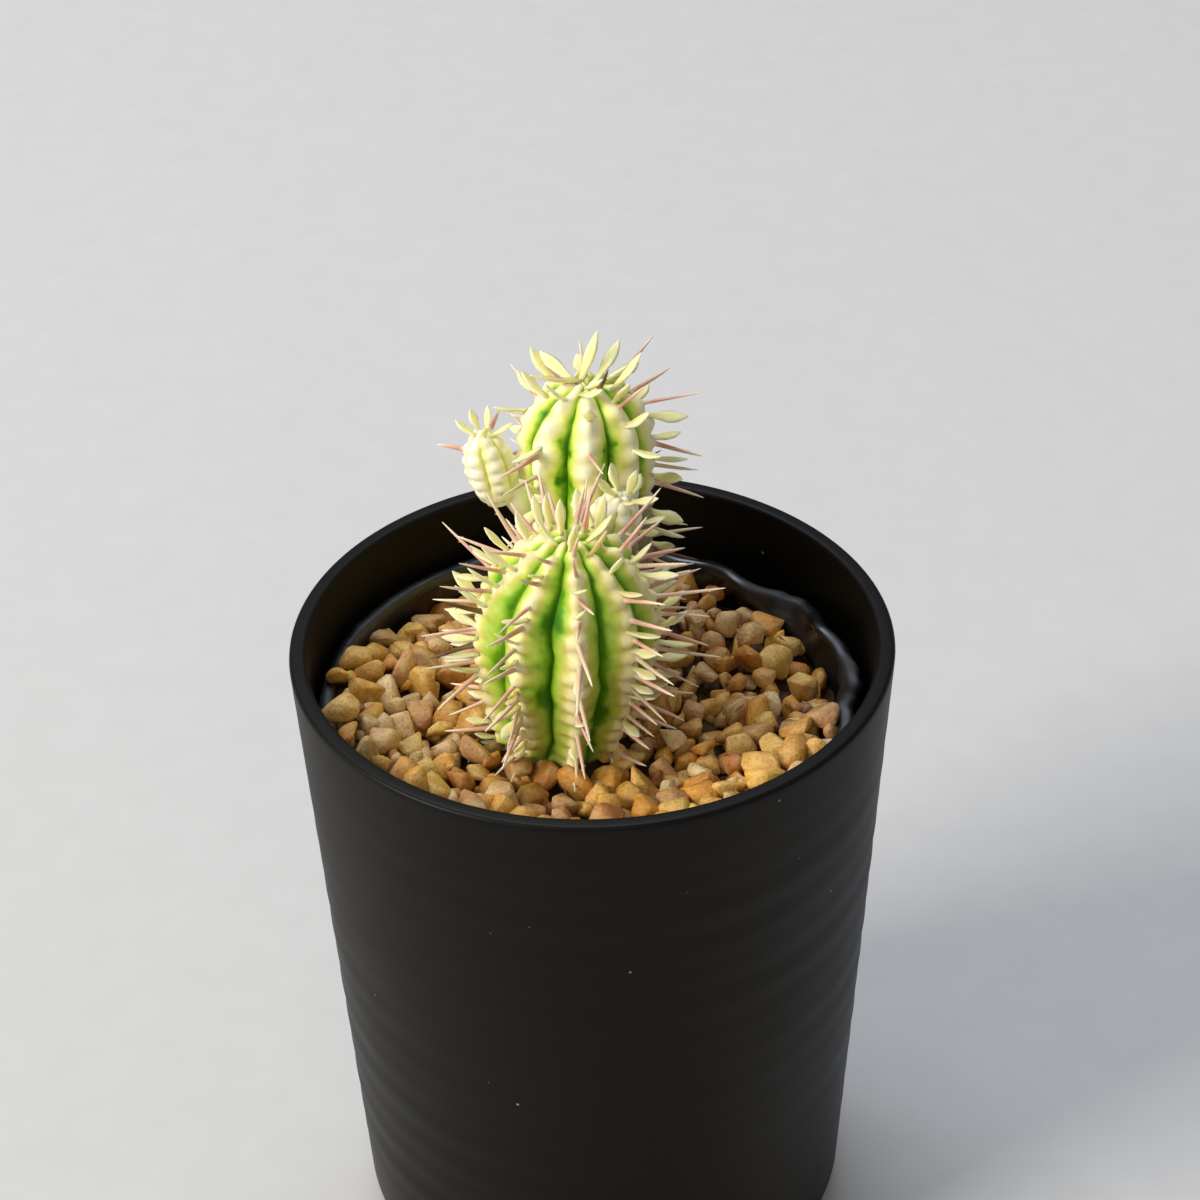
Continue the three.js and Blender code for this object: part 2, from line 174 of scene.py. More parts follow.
world = bpy.data.worlds.new("daylight")
world.use_nodes = True
plug(world.node_tree, world.node_tree.nodes["Background"], linear("#E6E9EC"), 0.28)
bpy.context.scene.world = world
bpy.context.scene.view_settings.view_transform = "Standard"

floor_mesh = bpy.data.meshes.new("floor")
floor_mesh.from_pydata([(-4, -4, 0), (4, -4, 0), (4, 4, 0), (-4, 4, 0)], [], [(0, 1, 2, 3)])
floor = bpy.data.objects.new("floor", floor_mesh)
bpy.context.collection.objects.link(floor)
# Matt studio paper: no gloss, and a faint cloudy tone, 900 clouds across, that keeps it from looking drawn.
paper, tree, shader, _ = new_material("studio_paper", Roughness=0.9, Specular_IOR_Level=0.2)
cloud = add(tree, "TexNoise", Scale=900.0, Detail=3.0)
plug(tree, shader, Base_Color=add(tree, "ValToRGB", cloud, stops=[(0.3, "#CCCAC7"), (0.7, "#CFCDCA")]))
floor_mesh.materials.append(paper)

# %% [markdown]
# ## Turned pieces
# Both pots are bodies of revolution. A Screw modifier would turn an outline too, but mesh code can also move each
# point, which the moulding ripples on one pot and the crumples on the other need. The outline is written once, from
# the middle of the foot out, up the wall and down inside, and each of its points becomes a ring.

# %% Mesh helpers
def arc(centre, radius, start, end, steps):
    """Points on an arc in the outline's plane, angles in degrees."""
    angles = [math.radians(start + (end - start) * i / steps) for i in range(steps + 1)]
    return [(centre[0] + radius * math.cos(a), centre[1] + radius * math.sin(a)) for a in angles]


def stretch(start, end, step):
    """Points from start to just before end, no further apart than step."""
    count = max(1, math.ceil(math.dist(start, end) / step))
    return [tuple(a + (b - a) * i / count for a, b in zip(start, end)) for i in range(count)]


def band(mesh, ring, next_ring):
    """Joins two rings of points with faces. A pole is a ring whose points are all one."""
    for i in range(len(ring)):
        j = (i + 1) % len(ring)
        corners = dict.fromkeys((ring[i], next_ring[i], next_ring[j], ring[j]))
        if len(corners) > 2:
            mesh.faces.new(corners)


def to_object(name, mesh, smooth=True, shown=True):
    """Turns mesh code's work into an object."""
    piece = bpy.data.objects.new(name, bpy.data.meshes.new(name))
    mesh.to_mesh(piece.data)
    mesh.free()
    if smooth:
        piece.data.shade_smooth()
    if shown:
        bpy.context.collection.objects.link(piece)
    return piece


def turned(name, outline, sides, shift):
    """Makes a closed body of revolution from (radius, height) points in millimetres, each moved by shift."""
    mesh = bmesh.new()
    rings = []
    for radius, height in outline:
        if radius == 0:
            rings.append([mesh.verts.new((0, 0, height * mm))] * sides)
            continue
        ring = []
        for i in range(sides):
            angle = TURN * i / sides
            r, z = shift(angle, radius, height)
            ring.append(mesh.verts.new((r * math.sin(angle) * mm, -r * math.cos(angle) * mm, z * mm)))
        rings.append(ring)
    for lower, upper in zip(rings, rings[1:]):
        band(mesh, lower, upper)
    bmesh.ops.recalc_face_normals(mesh, faces=mesh.faces)
    return to_object(name, mesh)


def finish(piece, material=None, node=None):
    """Gives a piece its material, hangs it on the root body, and hides the CAD node that it stands for."""
    if material:
        piece.data.materials.clear()
        piece.data.materials.append(material)
    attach(piece, "root")
    if node:
        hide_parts(node)
    print(piece.name, "has", len(piece.data.polygons), "faces")


print("a quarter circle in 6 steps has", len(arc((0, 0), 1, 0, 90, 6)), "points")

# %% [markdown]
# ## Outer pot
# The outer pot is black polypropylene, injection moulded with a fine satin texture. Its wall shows faint uneven
# rings, where the melt front slowed. A bump map could fake them, but they also show in the outline, so they are real
# dents of under a tenth of a millimetre. The thick rim has small rounded edges, which draw a thin bright line.

# %% Outer pot: form
POT = {"rim": 45, "height": 108, "foot": 38.2, "wall": 2.6, "floor": 3.4, "bevel": 0.7, "corner": 7}
# Two sets of moulding rings, each at (distance apart, strength), between two heights.
RIPPLE = {"depth": 0.05, "rings": ((6.3, 1.0), (9.7, 0.7)), "from": 8, "to": 106}


def pot_radius(height):
    """The outer wall's radius at a height."""
    return POT["foot"] + (POT["rim"] - POT["foot"]) * height / POT["height"]


def inside_radius(height):
    """The inner wall's radius at a height."""
    return pot_radius(height) - POT["wall"]


def ripple(angle, radius, height):
    """Moves the outer wall in and out by the moulding rings, which come and go round the pot."""
    if radius < pot_radius(height) - 1 or not RIPPLE["from"] < height < RIPPLE["to"]:
        return radius, height
    (fine, _), (coarse, strength) = RIPPLE["rings"]
    drift = 1.3 * math.sin(angle + 0.6) + 0.8 * math.sin(2 * angle + 1.9)
    rings = math.sin(TURN * (height + drift) / fine)
    rings += strength * math.sin(TURN * (height - 0.7 * drift) / coarse + 1)
    fade = min(1, (height - RIPPLE["from"]) / 10, (RIPPLE["to"] - height) / 8)
    patch = 0.55 + 0.45 * math.sin(2 * angle + height / 19 + 2.1)
    return radius + RIPPLE["depth"] * rings * fade * patch, height


def pot_outline():
    """The pot's outline from the middle of its foot to the middle of its floor."""
    top, bevel, corner = POT["height"], POT["bevel"], POT["corner"]
    edge = top - bevel
    foot = POT["foot"] - corner * 0.62
    corner_arc = arc((pot_radius(corner) - corner, corner), corner, -62, 0, 10)
    outer_edge = arc((pot_radius(edge) - bevel, edge), bevel, 0, 90, 6)
    return [
        *[(0, 1.2), (foot - 4.4, 1.2), (foot - 3.2, 0.15), (foot - 3, 0), (foot - 0.3, 0)],
        *corner_arc[:-1],
        *stretch(corner_arc[-1], outer_edge[0], 0.9),
        *outer_edge,
        *arc((inside_radius(edge) + bevel, edge), bevel, 90, 180, 6)[:-1],
        *stretch((inside_radius(edge), edge), (inside_radius(8), 8), 4),
        *arc((inside_radius(6.4) - 3, 6.4), 3, 0, -90, 6),
        (0, POT["floor"]),
    ]


pot = turned("outer_pot", pot_outline(), 192, ripple)
print("outer pot radius at foot and rim:", pot_radius(0), pot_radius(POT["height"]))

# %% [markdown]
# Both pots have the same five drain holes. Holes could be left open while the floor is built, but a Boolean modifier
# cuts them with less code. It is applied, so that the piece is a plain mesh.

# %% Drain holes
DRAIN = {"radius": 3.6, "circle": 18, "count": 4, "sides": 32}


def drain(piece, bottom, top):
    """Cuts the drain holes through a pot's floor, one in the middle and the rest on a circle."""
    cutter = bmesh.new()
    turns = [TURN * (i + 0.5) / DRAIN["count"] for i in range(DRAIN["count"])]
    for x, y in [(0, 0)] + [(DRAIN["circle"] * math.cos(a), DRAIN["circle"] * math.sin(a)) for a in turns]:
        radius = DRAIN["radius"] * mm
        bmesh.ops.create_cone(
            cutter, cap_ends=True, segments=DRAIN["sides"], radius1=radius, radius2=radius, depth=(top - bottom) * mm,
            matrix=Matrix.Translation((x * mm, y * mm, (bottom + top) / 2 * mm)),
        )
    tool = to_object("drain_cutter", cutter, smooth=False)
    cut = piece.modifiers.new("drain", "BOOLEAN")
    cut.object = tool
    cut.operation = "DIFFERENCE"
    graph = bpy.context.evaluated_depsgraph_get()
    plain = bpy.data.meshes.new_from_object(piece.evaluated_get(graph))
    piece.modifiers.remove(cut)
    piece.data = plain
    bpy.data.objects.remove(tool)
    print(piece.name, "is drained")


drain(pot, -1, POT["floor"] + 1)

# %% [markdown]
# Polypropylene has an IOR near 1.49. The finish could be one roughness value, but hands have polished the real wall
# in places and dust clings to it, so noise a few centimetres wide moves the roughness and a sparse Voronoi pattern
# sets the specks.

# %% Outer pot: material
# Spark-eroded mould: the fine grain spreads every reflection into a wide soft sheen, with no sharp highlight.
pot_material, tree, shader, place = new_material("moulded_polypropylene", IOR=1.49, Specular_IOR_Level=0.14)
grain = add(tree, "TexNoise", Vector=place, Scale=1 / (0.5 * mm), Detail=4.0, Roughness=0.6)
rubbed = add(tree, "TexNoise", Vector=place, Scale=1 / (28 * mm), Detail=3.0)
tint = add(tree, "ValToRGB", rubbed, stops=[(0.3, "#0A0805"), (0.7, "#110D08")])
specks = add(tree, "TexVoronoi", Vector=place, Scale=1 / (7.5 * mm), feature="F1")
speck = add(tree, "MapRange", specks, 0.02, 0.034, 1.0, 0.0)
plug(
    tree, shader,
    Base_Color=add(tree, "Mix", speck, tint, linear("#8F8C88"), data_type="RGBA"),
    Roughness=add(tree, "MapRange", rubbed, 0.3, 0.7, 0.4, 0.5),
    Normal=add(tree, "Bump", Strength=0.25, Distance=0.03 * mm, Height=grain),
)
finish(pot, pot_material, "pot")

# %% [markdown]
# ## Nursery pot
# The inner pot is thin polyethylene sheet, blown into a mould and cheap enough to crumple. Its turned-over lip has
# been pushed in at the back on the right, and the dents shine. A cloth simulation could crumple it, but the folds are
# few and their places are known, so the turning function makes it with a shift that presses the lip inwards.

# %% Nursery pot: form
LINER = {"top": 98.6, "lip": 41.3, "drop": 3, "wall_top": 39.6, "wall_foot": 31, "sheet": 0.7}
# Where the crumpling starts and where it is strongest, and the two pressed dents, each at (turn in degrees, depth).
CRUMPLE = {"from": 84, "behind": math.radians(128), "spread": 1.4, "dents": ((137, 1.2), (158, 0.9)), "width": 0.15}


def liner_radius(height):
    """The nursery pot's outer radius at a height."""
    share = (height - POT["floor"]) / (LINER["top"] - POT["floor"])
    return LINER["wall_foot"] + (LINER["wall_top"] - LINER["wall_foot"]) * share


def crumple(angle, radius, height):
    """Dents the upper wall and lip inwards, most of all at the back on the right."""
    up = height - CRUMPLE["from"]
    reach = max(0.0, min(1.0, up / 10))
    if reach == 0:
        return radius, height
    off = angle - CRUMPLE["behind"]
    behind = max(0.0, math.cos(off / CRUMPLE["spread"])) if abs(off) < 2 else 0.0
    fold = noise.noise(Vector((4.4 * math.cos(angle), 4.4 * math.sin(angle), height / 7)))
    crease = noise.noise(Vector((9 * math.cos(angle), 9 * math.sin(angle), height / 3.5)))
    dent = (0.3 + 2.1 * behind) * max(0.0, 0.4 + fold) + (0.1 + 0.9 * behind) * abs(crease)
    pressed = sum(
        deep * math.exp(-(((angle - math.radians(turn)) / CRUMPLE["width"]) ** 2))
        for turn, deep in CRUMPLE["dents"]
    )
    sag = 1.4 * behind * fold - 0.9 * pressed
    return radius - reach * (dent + pressed), height + reach * sag * min(1, up / 14)


def liner_outline():
    """The nursery pot's outline, from the middle of its underside to the middle of its floor."""
    top, lip, drop, sheet = (LINER[key] for key in ("top", "lip", "drop", "sheet"))
    floor = POT["floor"] + 0.3
    lip_top = arc((lip - 1.1, top - 1.1), 1.1, 0, 90, 7)
    return [
        (0, floor),
        (liner_radius(floor) - 1.5, floor),
        (liner_radius(floor + 1.5), floor + 1.5),
        *stretch((liner_radius(80), 80), (liner_radius(top - sheet) + 0.1, top - sheet), 1.2),
        (lip - sheet, top - sheet - 0.1),
        (lip - sheet, top - drop),
        (lip - sheet / 2, top - drop - 0.1),
        (lip, top - drop),
        *stretch((lip, top - drop + 0.3), lip_top[0], 0.6),
        *lip_top,
        (liner_radius(top) - sheet + 0.5, top),
        *stretch((liner_radius(top) - sheet, top - 0.4), (liner_radius(80) - sheet, 80), 1.2),
        (liner_radius(floor + 1.5) - sheet, floor + 1.5),
        (liner_radius(floor) - 1.5 - sheet / 2, floor + sheet),
        (0, floor + sheet),
    ]


liner = turned("inner_pot", liner_outline(), 240, crumple)
drain(liner, POT["floor"] - 0.5, POT["floor"] + 2)

# %% Nursery pot: material
# Blown film: where the sheet is still glossy it gives short bright streaks along the folds, and where grit has
# scuffed it the streaks break up.
liner_material, tree, shader, place = new_material("blown_polyethylene", IOR=1.51, Specular_IOR_Level=0.8)
scuff = add(tree, "TexNoise", Vector=place, Scale=1 / (4 * mm), Detail=5.0)
worn = add(tree, "TexNoise", Vector=place, Scale=1 / (11 * mm), Detail=2.0)
plug(
    tree, shader,
    Base_Color=add(tree, "ValToRGB", scuff, stops=[(0.35, "#0B0B0C"), (0.7, "#151516")]),
    Roughness=add(tree, "MapRange", worn, 0.38, 0.62, 0.24, 0.7),
    Normal=add(tree, "Bump", Strength=0.35, Distance=0.12 * mm, Height=scuff),
)
finish(liner, liner_material, "nursery_pot")

# %% [markdown]
# ## Potting mix
# The mix under the grit is peat and bark fines. Only its underside shows, through the drain holes, so loose crumbs
# would be wasted work: the CAD node stays and gets the finish.

# %% Potting mix: material
# Damp peat: dark crumbs of one to three millimetres with no shine, and paler fibres that catch the light.
mix_material, tree, shader, place = new_material("peat_and_bark", Roughness=0.95, Specular_IOR_Level=0.25)
crumbs = add(tree, "TexVoronoi", Vector=place, Scale=1 / (1.8 * mm), feature="F1")
fibres = add(tree, "TexNoise", Vector=place, Scale=1 / (0.9 * mm), Detail=6.0)
plug(
    tree, shader,
    Base_Color=add(tree, "ValToRGB", fibres, stops=[(0.3, "#1F1610"), (0.55, "#3B2A1C"), (0.75, "#6B5238")]),
    Normal=add(tree, "Bump", Strength=0.8, Distance=0.6 * mm, Height=crumbs),
)
mix = frame["nodes"]["potting_mix"]
mix.data.materials.clear()
mix.data.materials.append(mix_material)
print("the potting mix keeps its CAD body")

# %% [markdown]
# ## Geometry Nodes, run once
# The ribs, leaves, spines and stones all follow rules, so Geometry Nodes trees make them. `new_tree` starts a tree
# with named inputs. `run_tree` puts it on an empty object, sets the inputs, and keeps the result as a plain mesh,
# because a finished piece has no live modifier.

# %% Start and run a tree
def new_tree(name, inputs):
    """Starts a Geometry Nodes tree. inputs maps each input's label to its socket type. Returns it and its inputs."""
    tree = bpy.data.node_groups.new(name, "GeometryNodeTree")
    tree.interface.new_socket("Geometry", in_out="OUTPUT", socket_type="NodeSocketGeometry")
    for label, kind in inputs.items():
        tree.interface.new_socket(label, in_out="INPUT", socket_type=f"NodeSocket{kind}")
    return tree, tree.nodes.new("NodeGroupInput").outputs


def run_tree(name, tree, values):
    """Runs a tree with its inputs set by identifier, and returns an object that holds the plain result."""
    piece = to_object(name, bmesh.new(), smooth=False)
    modifier = piece.modifiers.new(tree.name, "NODES")
    modifier.node_group = tree
    for item in tree.interface.items_tree:
        if item.in_out == "INPUT":
            modifier[item.identifier] = values[item.name]
    graph = bpy.context.evaluated_depsgraph_get()
    plain = bpy.data.meshes.new_from_object(piece.evaluated_get(graph), preserve_all_data_layers=True, depsgraph=graph)
    piece.modifiers.remove(modifier)
    piece.data = plain
    plain.name = name
    print(name, "has", len(plain.polygons), "faces and", [a.name for a in plain.attributes if a.name[0] != "."])
    return piece


print("the tree helpers are ready")

# %% [markdown]
# ## The ribbed skin
# A stem of this plant is a lathe shape pressed into ribs. Sculpting would follow the photo closer, but the ribs and
# their bumps obey a rule, and a tree keeps the rule and its numbers in view. It starts from a flat grid: one side
# becomes the way round the stem, the other the way down a crest line, a curve from the growing point to the root.
# Each grid point is pushed along the crest line's normal: inwards by the furrow's cross-section, and outwards at
# the tubercles, the bumps that carry a leaf and a spine. Tubercles wind round the stem in a spiral, so each rib's
# row starts a little lower than the last one's.
# The tree also stores what the finish and the leaves need to know: how far a point is from its crest (`share`),
# how high it is (`height`), and which points are tubercle tops (`node`).

# %% Tree: ribbed skin
tree, given = new_tree(
    "ribbed_skin",
    {
        "Crest line": "Object", "Ribs": "Int", "Columns per rib": "Int", "Rings": "Int", "Turn": "Float",
        "Furrow depth": "Float", "Spiral": "Int", "Tubercle spacing": "Float", "Tubercle height": "Float",
        "Wrinkle": "Float", "Crease": "Float", "Base": "Float", "Top": "Float", "Bare top": "Float", "Lean": "Vector",
        "Skin": "Material",
    },
)
# How wide a tubercle and a crease are, how a furrow wanders, and how fast tubercles crowd together downwards.
KNOB = {"along": 1.15 * mm, "across": 1.5 * mm}
CREASE_WIDTH = 0.45 * mm
WANDER = {"size": 1.6, "swing": 0.22, "down": 90.0}
WRINKLE_HEIGHT = 1.5 * mm
CROWDING = 7.0

columns = add(tree, "Math MULTIPLY", given["Ribs"], given["Columns per rib"])
grid = add(
    tree, "MeshGrid", Size_X=1.0, Size_Y=1.0, Vertices_X=add(tree, "Math ADD", columns, 1.0),
    Vertices_Y=add(tree, "Math ADD", given["Rings"], 1.0),
)
flat = add(tree, "SeparateXYZ", add(tree, "InputPosition"))
half_a_rib = add(tree, "Math DIVIDE", 0.5, given["Ribs"])
from_seam = add(tree, "Math ADD", flat.outputs["X"], 0.5)
around = add(tree, "Math SUBTRACT", from_seam, half_a_rib)
down = add(tree, "Math ADD", flat.outputs["Y"], 0.5, use_clamp=True)
line = add(tree, "ObjectInfo", given["Crest line"]).outputs["Geometry"]
crest = add(tree, "SampleCurve", Curves=line, Factor=down, mode="FACTOR")
length = add(tree, "CurveLength", line)
point = add(tree, "SeparateXYZ", crest.outputs["Position"])
slope = add(tree, "SeparateXYZ", crest.outputs["Tangent"])
fall = add(tree, "Math MULTIPLY", slope.outputs["Z"], -1.0)
facing = add(tree, "Math ARCTAN2", slope.outputs["X"], fall)

# Which rib a point is on, and how far from its crest: 0 on the crest, 1 in the furrow.
place_on_ribs = add(tree, "Math MULTIPLY", around, given["Ribs"])
nearest = add(tree, "Math ROUND", place_on_ribs)
off = add(tree, "Math SUBTRACT", place_on_ribs, nearest)
share = add(tree, "Math MULTIPLY", add(tree, "Math ABSOLUTE", off), 2.0)
rib = add(tree, "Math FLOORED_MODULO", nearest, given["Ribs"])

# The furrow's cross-section, drawn as a curve: rounded flanks that end in a narrow sharp line.
section = add(tree, "FloatCurve", Value=share)
curve = section.mapping.curves[0]
for x, y in [(0.14, 0.03), (0.4, 0.16), (0.68, 0.37), (0.86, 0.6), (0.95, 0.8)]:
    curve.points.new(x, y)
section.mapping.update()

# Tubercles: where along the crest, counted in spacings, and the distance from the nearest one. The spacing shrinks
# down the stem, where the growth is older and slower.
walked = add(tree, "Math MULTIPLY", down, length)
even_steps = add(tree, "Math DIVIDE", walked, given["Tubercle spacing"])
steps = add(tree, "Math MULTIPLY", even_steps, add(tree, "Math MULTIPLY_ADD", walked, CROWDING, 1.0))
crowding = add(tree, "Math MULTIPLY_ADD", walked, 2 * CROWDING, 1.0)
spacing = add(tree, "Math DIVIDE", given["Tubercle spacing"], crowding)
start = add(tree, "Math DIVIDE", add(tree, "Math MULTIPLY", rib, given["Spiral"]), given["Ribs"])
count = add(tree, "Math ADD", steps, start)
from_node = add(tree, "Math SUBTRACT", count, add(tree, "Math ROUND", count))
along = add(tree, "Math MULTIPLY", from_node, spacing)
half_rib = add(tree, "Math DIVIDE", add(tree, "Math MULTIPLY", point.outputs["X"], math.pi), given["Ribs"])
across = add(tree, "Math MULTIPLY", half_rib, share)
spread = add(
    tree, "CombineXYZ", add(tree, "Math DIVIDE", along, KNOB["along"]),
    add(tree, "Math DIVIDE", across, KNOB["across"]),
)
far = add(tree, "VectorMath DOT_PRODUCT", spread, spread).outputs["Value"]
bump = add(tree, "Math POWER", math.e, add(tree, "Math MULTIPLY", far, -1.0))

# Between two tubercles a shallow crease runs from the crest down the flank, deeper low on the stem.
between = add(tree, "Math SUBTRACT", add(tree, "Math ABSOLUTE", from_node), 0.5)
gap = add(tree, "Math DIVIDE", add(tree, "Math MULTIPLY", between, spacing), CREASE_WIDTH)
notch = add(tree, "Math POWER", math.e, add(tree, "Math MULTIPLY", add(tree, "Math MULTIPLY", gap, gap), -1.0))
flank = add(tree, "MapRange", share, 0.75, 0.1, interpolation_type="SMOOTHSTEP")
pressed = add(tree, "Math MULTIPLY", notch, flank)

# Ribs die out at the neck, just under the grit.
emerging = add(
    tree, "MapRange", point.outputs["Z"], given["Base"], add(tree, "Math ADD", given["Base"], 4 * mm),
    interpolation_type="SMOOTHSTEP",
)
height = add(tree, "MapRange", point.outputs["Z"], given["Base"], given["Top"])

# The way round, wandering by a few degrees so that no furrow is ruler straight.
even = add(tree, "Math MULTIPLY_ADD", around, TURN, given["Turn"])
loop = add(
    tree, "CombineXYZ", add(tree, "Math SINE", even), add(tree, "Math COSINE", even),
    add(tree, "Math MULTIPLY", walked, WANDER["down"]),
)
wander = add(tree, "TexNoise", Vector=loop, Scale=WANDER["size"], Detail=1.0)
azimuth = add(tree, "Math MULTIPLY_ADD", add(tree, "Math SUBTRACT", wander, 0.5), WANDER["swing"], even)
sine = add(tree, "Math SINE", azimuth)
cosine = add(tree, "Math COSINE", azimuth)

# Fine cross wrinkles in the lower half, stretched round the stem.
creased = add(
    tree, "CombineXYZ", add(tree, "Math MULTIPLY", sine, 4.0), add(tree, "Math MULTIPLY", cosine, 4.0),
    add(tree, "Math MULTIPLY", walked, 1 / WRINKLE_HEIGHT),
)
wrinkle = add(tree, "TexNoise", Vector=creased, Scale=1.0, Detail=2.0)
low = add(tree, "MapRange", height, 0.75, 0.15, interpolation_type="SMOOTHSTEP")
wrinkled = add(
    tree, "Math MULTIPLY", add(tree, "Math SUBTRACT", wrinkle, 0.5), add(tree, "Math MULTIPLY", low, given["Wrinkle"]),
)

deepening = add(tree, "MapRange", height, 0.95, 0.3, 0.45, 1.0)
crease = add(tree, "Math MULTIPLY", add(tree, "Math MULTIPLY", pressed, deepening), given["Crease"])

# Push each point along the crest line's normal.
furrow = add(tree, "Math MULTIPLY", add(tree, "Math MULTIPLY", section, given["Furrow depth"]), point.outputs["X"])
knob = add(tree, "Math MULTIPLY", bump, given["Tubercle height"])
raised = add(tree, "Math ADD", add(tree, "Math SUBTRACT", knob, furrow), wrinkled)
raised = add(tree, "Math SUBTRACT", raised, crease)
pushed = add(tree, "Math MULTIPLY", raised, emerging)
out = add(tree, "Math MULTIPLY_ADD", pushed, add(tree, "Math COSINE", facing), point.outputs["X"])
lift = add(tree, "Math MULTIPLY_ADD", pushed, add(tree, "Math SINE", facing), point.outputs["Z"])
radius = add(tree, "Math MAXIMUM", out, 0.0)
x = add(tree, "Math MULTIPLY", radius, sine)
y = add(tree, "Math MULTIPLY", add(tree, "Math MULTIPLY", radius, cosine), -1.0)
upright = add(tree, "CombineXYZ", x, y, lift)
above = add(tree, "Math MAXIMUM", add(tree, "Math SUBTRACT", lift, given["Base"]), 0.0)
leaning = add(tree, "VectorMath SCALE", Vector=given["Lean"], Scale=above)
final = add(tree, "VectorMath ADD", upright, leaning)

# A node is the point on the crest nearest each tubercle's middle.
half_ring = add(tree, "Math MULTIPLY", add(tree, "Math DIVIDE", length, given["Rings"]), 0.5)
is_middle = add(tree, "Compare LESS_THAN", add(tree, "Math ABSOLUTE", along), half_ring)
is_crest = add(tree, "Compare LESS_THAN", share, 0.01)
is_skin = add(tree, "Compare GREATER_THAN", point.outputs["Z"], add(tree, "Math ADD", given["Base"], 1.2 * mm))
is_wide = add(tree, "Compare GREATER_THAN", point.outputs["X"], given["Bare top"])
is_node = add(
    tree, "BooleanMath AND", add(tree, "BooleanMath AND", is_middle, is_crest),
    add(tree, "BooleanMath AND", is_skin, is_wide),
)
shaped = grid
stored = {
    "share": share, "height": height, "bump": bump, "crease": pressed, "azimuth": azimuth, "facing": facing,
    "node": is_node,
}
for label, value in stored.items():
    kind = "BOOLEAN" if label == "node" else "FLOAT"
    shaped = add(tree, "StoreNamedAttribute", Geometry=shaped, Name=label, Value=value, data_type=kind, domain="POINT")
shaped = add(tree, "SetPosition", Geometry=shaped, Position=final)
shaped = add(tree, "MergeByDistance", Geometry=shaped, Distance=0.002 * mm)
shaped = add(tree, "SetShadeSmooth", Geometry=shaped)
shaped = add(tree, "RealizeInstances", Geometry=shaped)
shaped = add(tree, "SetMaterial", Geometry=shaped, Material=given["Skin"])
add(tree, "NodeGroupOutput", shaped)
skin_tree = tree
print("ribbed_skin has", len(tree.nodes), "nodes")

# %% [markdown]
# ## Skin finish
# Each part of a rib lost a different amount of its green: the crest is cream, the flank runs through yellow-green,
# and a dark green line is left at the bottom of the furrow. The bands could be painted by height and angle, but the
# tree has stored how far each point is from its crest, so one colour ramp does it. Noise blotches about 7 mm across
# break the bands up, and the old lower skin is duller, with fine cracks near the crests. The creases near the crests
# are darkened as painted shade.

# %% Skin: material
def skin_finish(name, bands, old, corky):
    """Variegated skin. bands are ramp stops from crest to furrow, old is the tone of the lowest skin."""
    # Waxy skin over wet tissue: a soft sheen on the crests, and light that sinks in and comes back warm.
    material, tree, shader, place = new_material(
        name, IOR=1.4, Specular_IOR_Level=0.4, Subsurface_Weight=0.15, Subsurface_Scale=1.0 * mm,
        Subsurface_Radius=(1.0, 0.9, 0.35),
    )
    share, height, bump, crease = (
        add(tree, "Attribute", attribute_name=label).outputs["Fac"] for label in ("share", "height", "bump", "crease")
    )

    # Blotches and flecks shift a point's place between crest and furrow, and so its band. The furrow stays calm.
    blotch = add(tree, "TexNoise", Vector=place, Scale=1 / (7 * mm), Detail=3.5, Roughness=0.6)
    fleck = add(tree, "TexNoise", Vector=place, Scale=1 / (1.1 * mm), Detail=4.0)
    swing = add(tree, "MapRange", blotch, 0.3, 0.7, -0.38, 0.38)
    calm = add(tree, "MapRange", share, 0.7, 1.0, 1.0, 0.0)
    moved = add(tree, "Math MULTIPLY_ADD", swing, calm, share)
    paler = add(tree, "Math MULTIPLY_ADD", bump, -0.45, moved)
    grained = add(tree, "Math MULTIPLY_ADD", add(tree, "Math SUBTRACT", fleck, 0.5), 0.14, paler, use_clamp=True)
    colour = add(tree, "ValToRGB", grained, stops=bands)

    # Old skin low down: duller flanks and fine cracks near the crest, and painted shade that darkens the creases there.
    ageing = add(tree, "MapRange", height, 0.62, 0.05, 0.0, 0.8, interpolation_type="SMOOTHSTEP")
    off_crest = add(
        tree, "ValToRGB", grained, stops=[(0.1, "#404040"), (0.35, "#F0F0F0"), (0.7, "#F0F0F0"), (0.95, "#505050")],
    )
    dulled = add(tree, "Math MULTIPLY", ageing, off_crest)
    aged = add(tree, "Mix", dulled, colour, linear(old), data_type="RGBA")
    cracks = add(
        tree, "TexNoise", Vector=add(tree, "Mapping", Vector=place, Scale=(1.0, 1.0, 2.6)), Scale=1 / (1.3 * mm),
        Detail=5.0, Roughness=0.7,
    )
    thin = add(tree, "MapRange", cracks, 0.6, 0.68, 0.0, 1.0)
    near_crest = add(tree, "MapRange", share, 0.45, 0.1, 0.0, 0.55)
    # Painted shade: where the skin is pressed into a crease near the crest, its colour is darkened towards dark olive.
    cut = add(tree, "MapRange", crease, 0.45, 0.95, 0.0, 1.3)
    cracks_and_crease_shade = add(tree, "Math ADD", thin, cut)
    where = add(tree, "Math MULTIPLY", add(tree, "Math MULTIPLY", cracks_and_crease_shade, near_crest), ageing, use_clamp=True)
    marked = add(tree, "Mix", where, aged, linear("#5E6B2A"), data_type="RGBA")
    if corky:
        cork = add(tree, "Attribute", attribute_name="cork").outputs["Fac"]
        bark = add(tree, "ValToRGB", cracks, stops=[(0.3, "#8A8068"), (0.6, "#A79B7E")])
        marked = add(tree, "Mix", cork, marked, bark, data_type="RGBA")
    plug(
        tree, shader, Base_Color=marked, Roughness=add(tree, "MapRange", blotch, 0.3, 0.7, 0.38, 0.5),
        Normal=add(tree, "Bump", Strength=0.5, Distance=0.08 * mm, Height=fleck),
    )
    return material


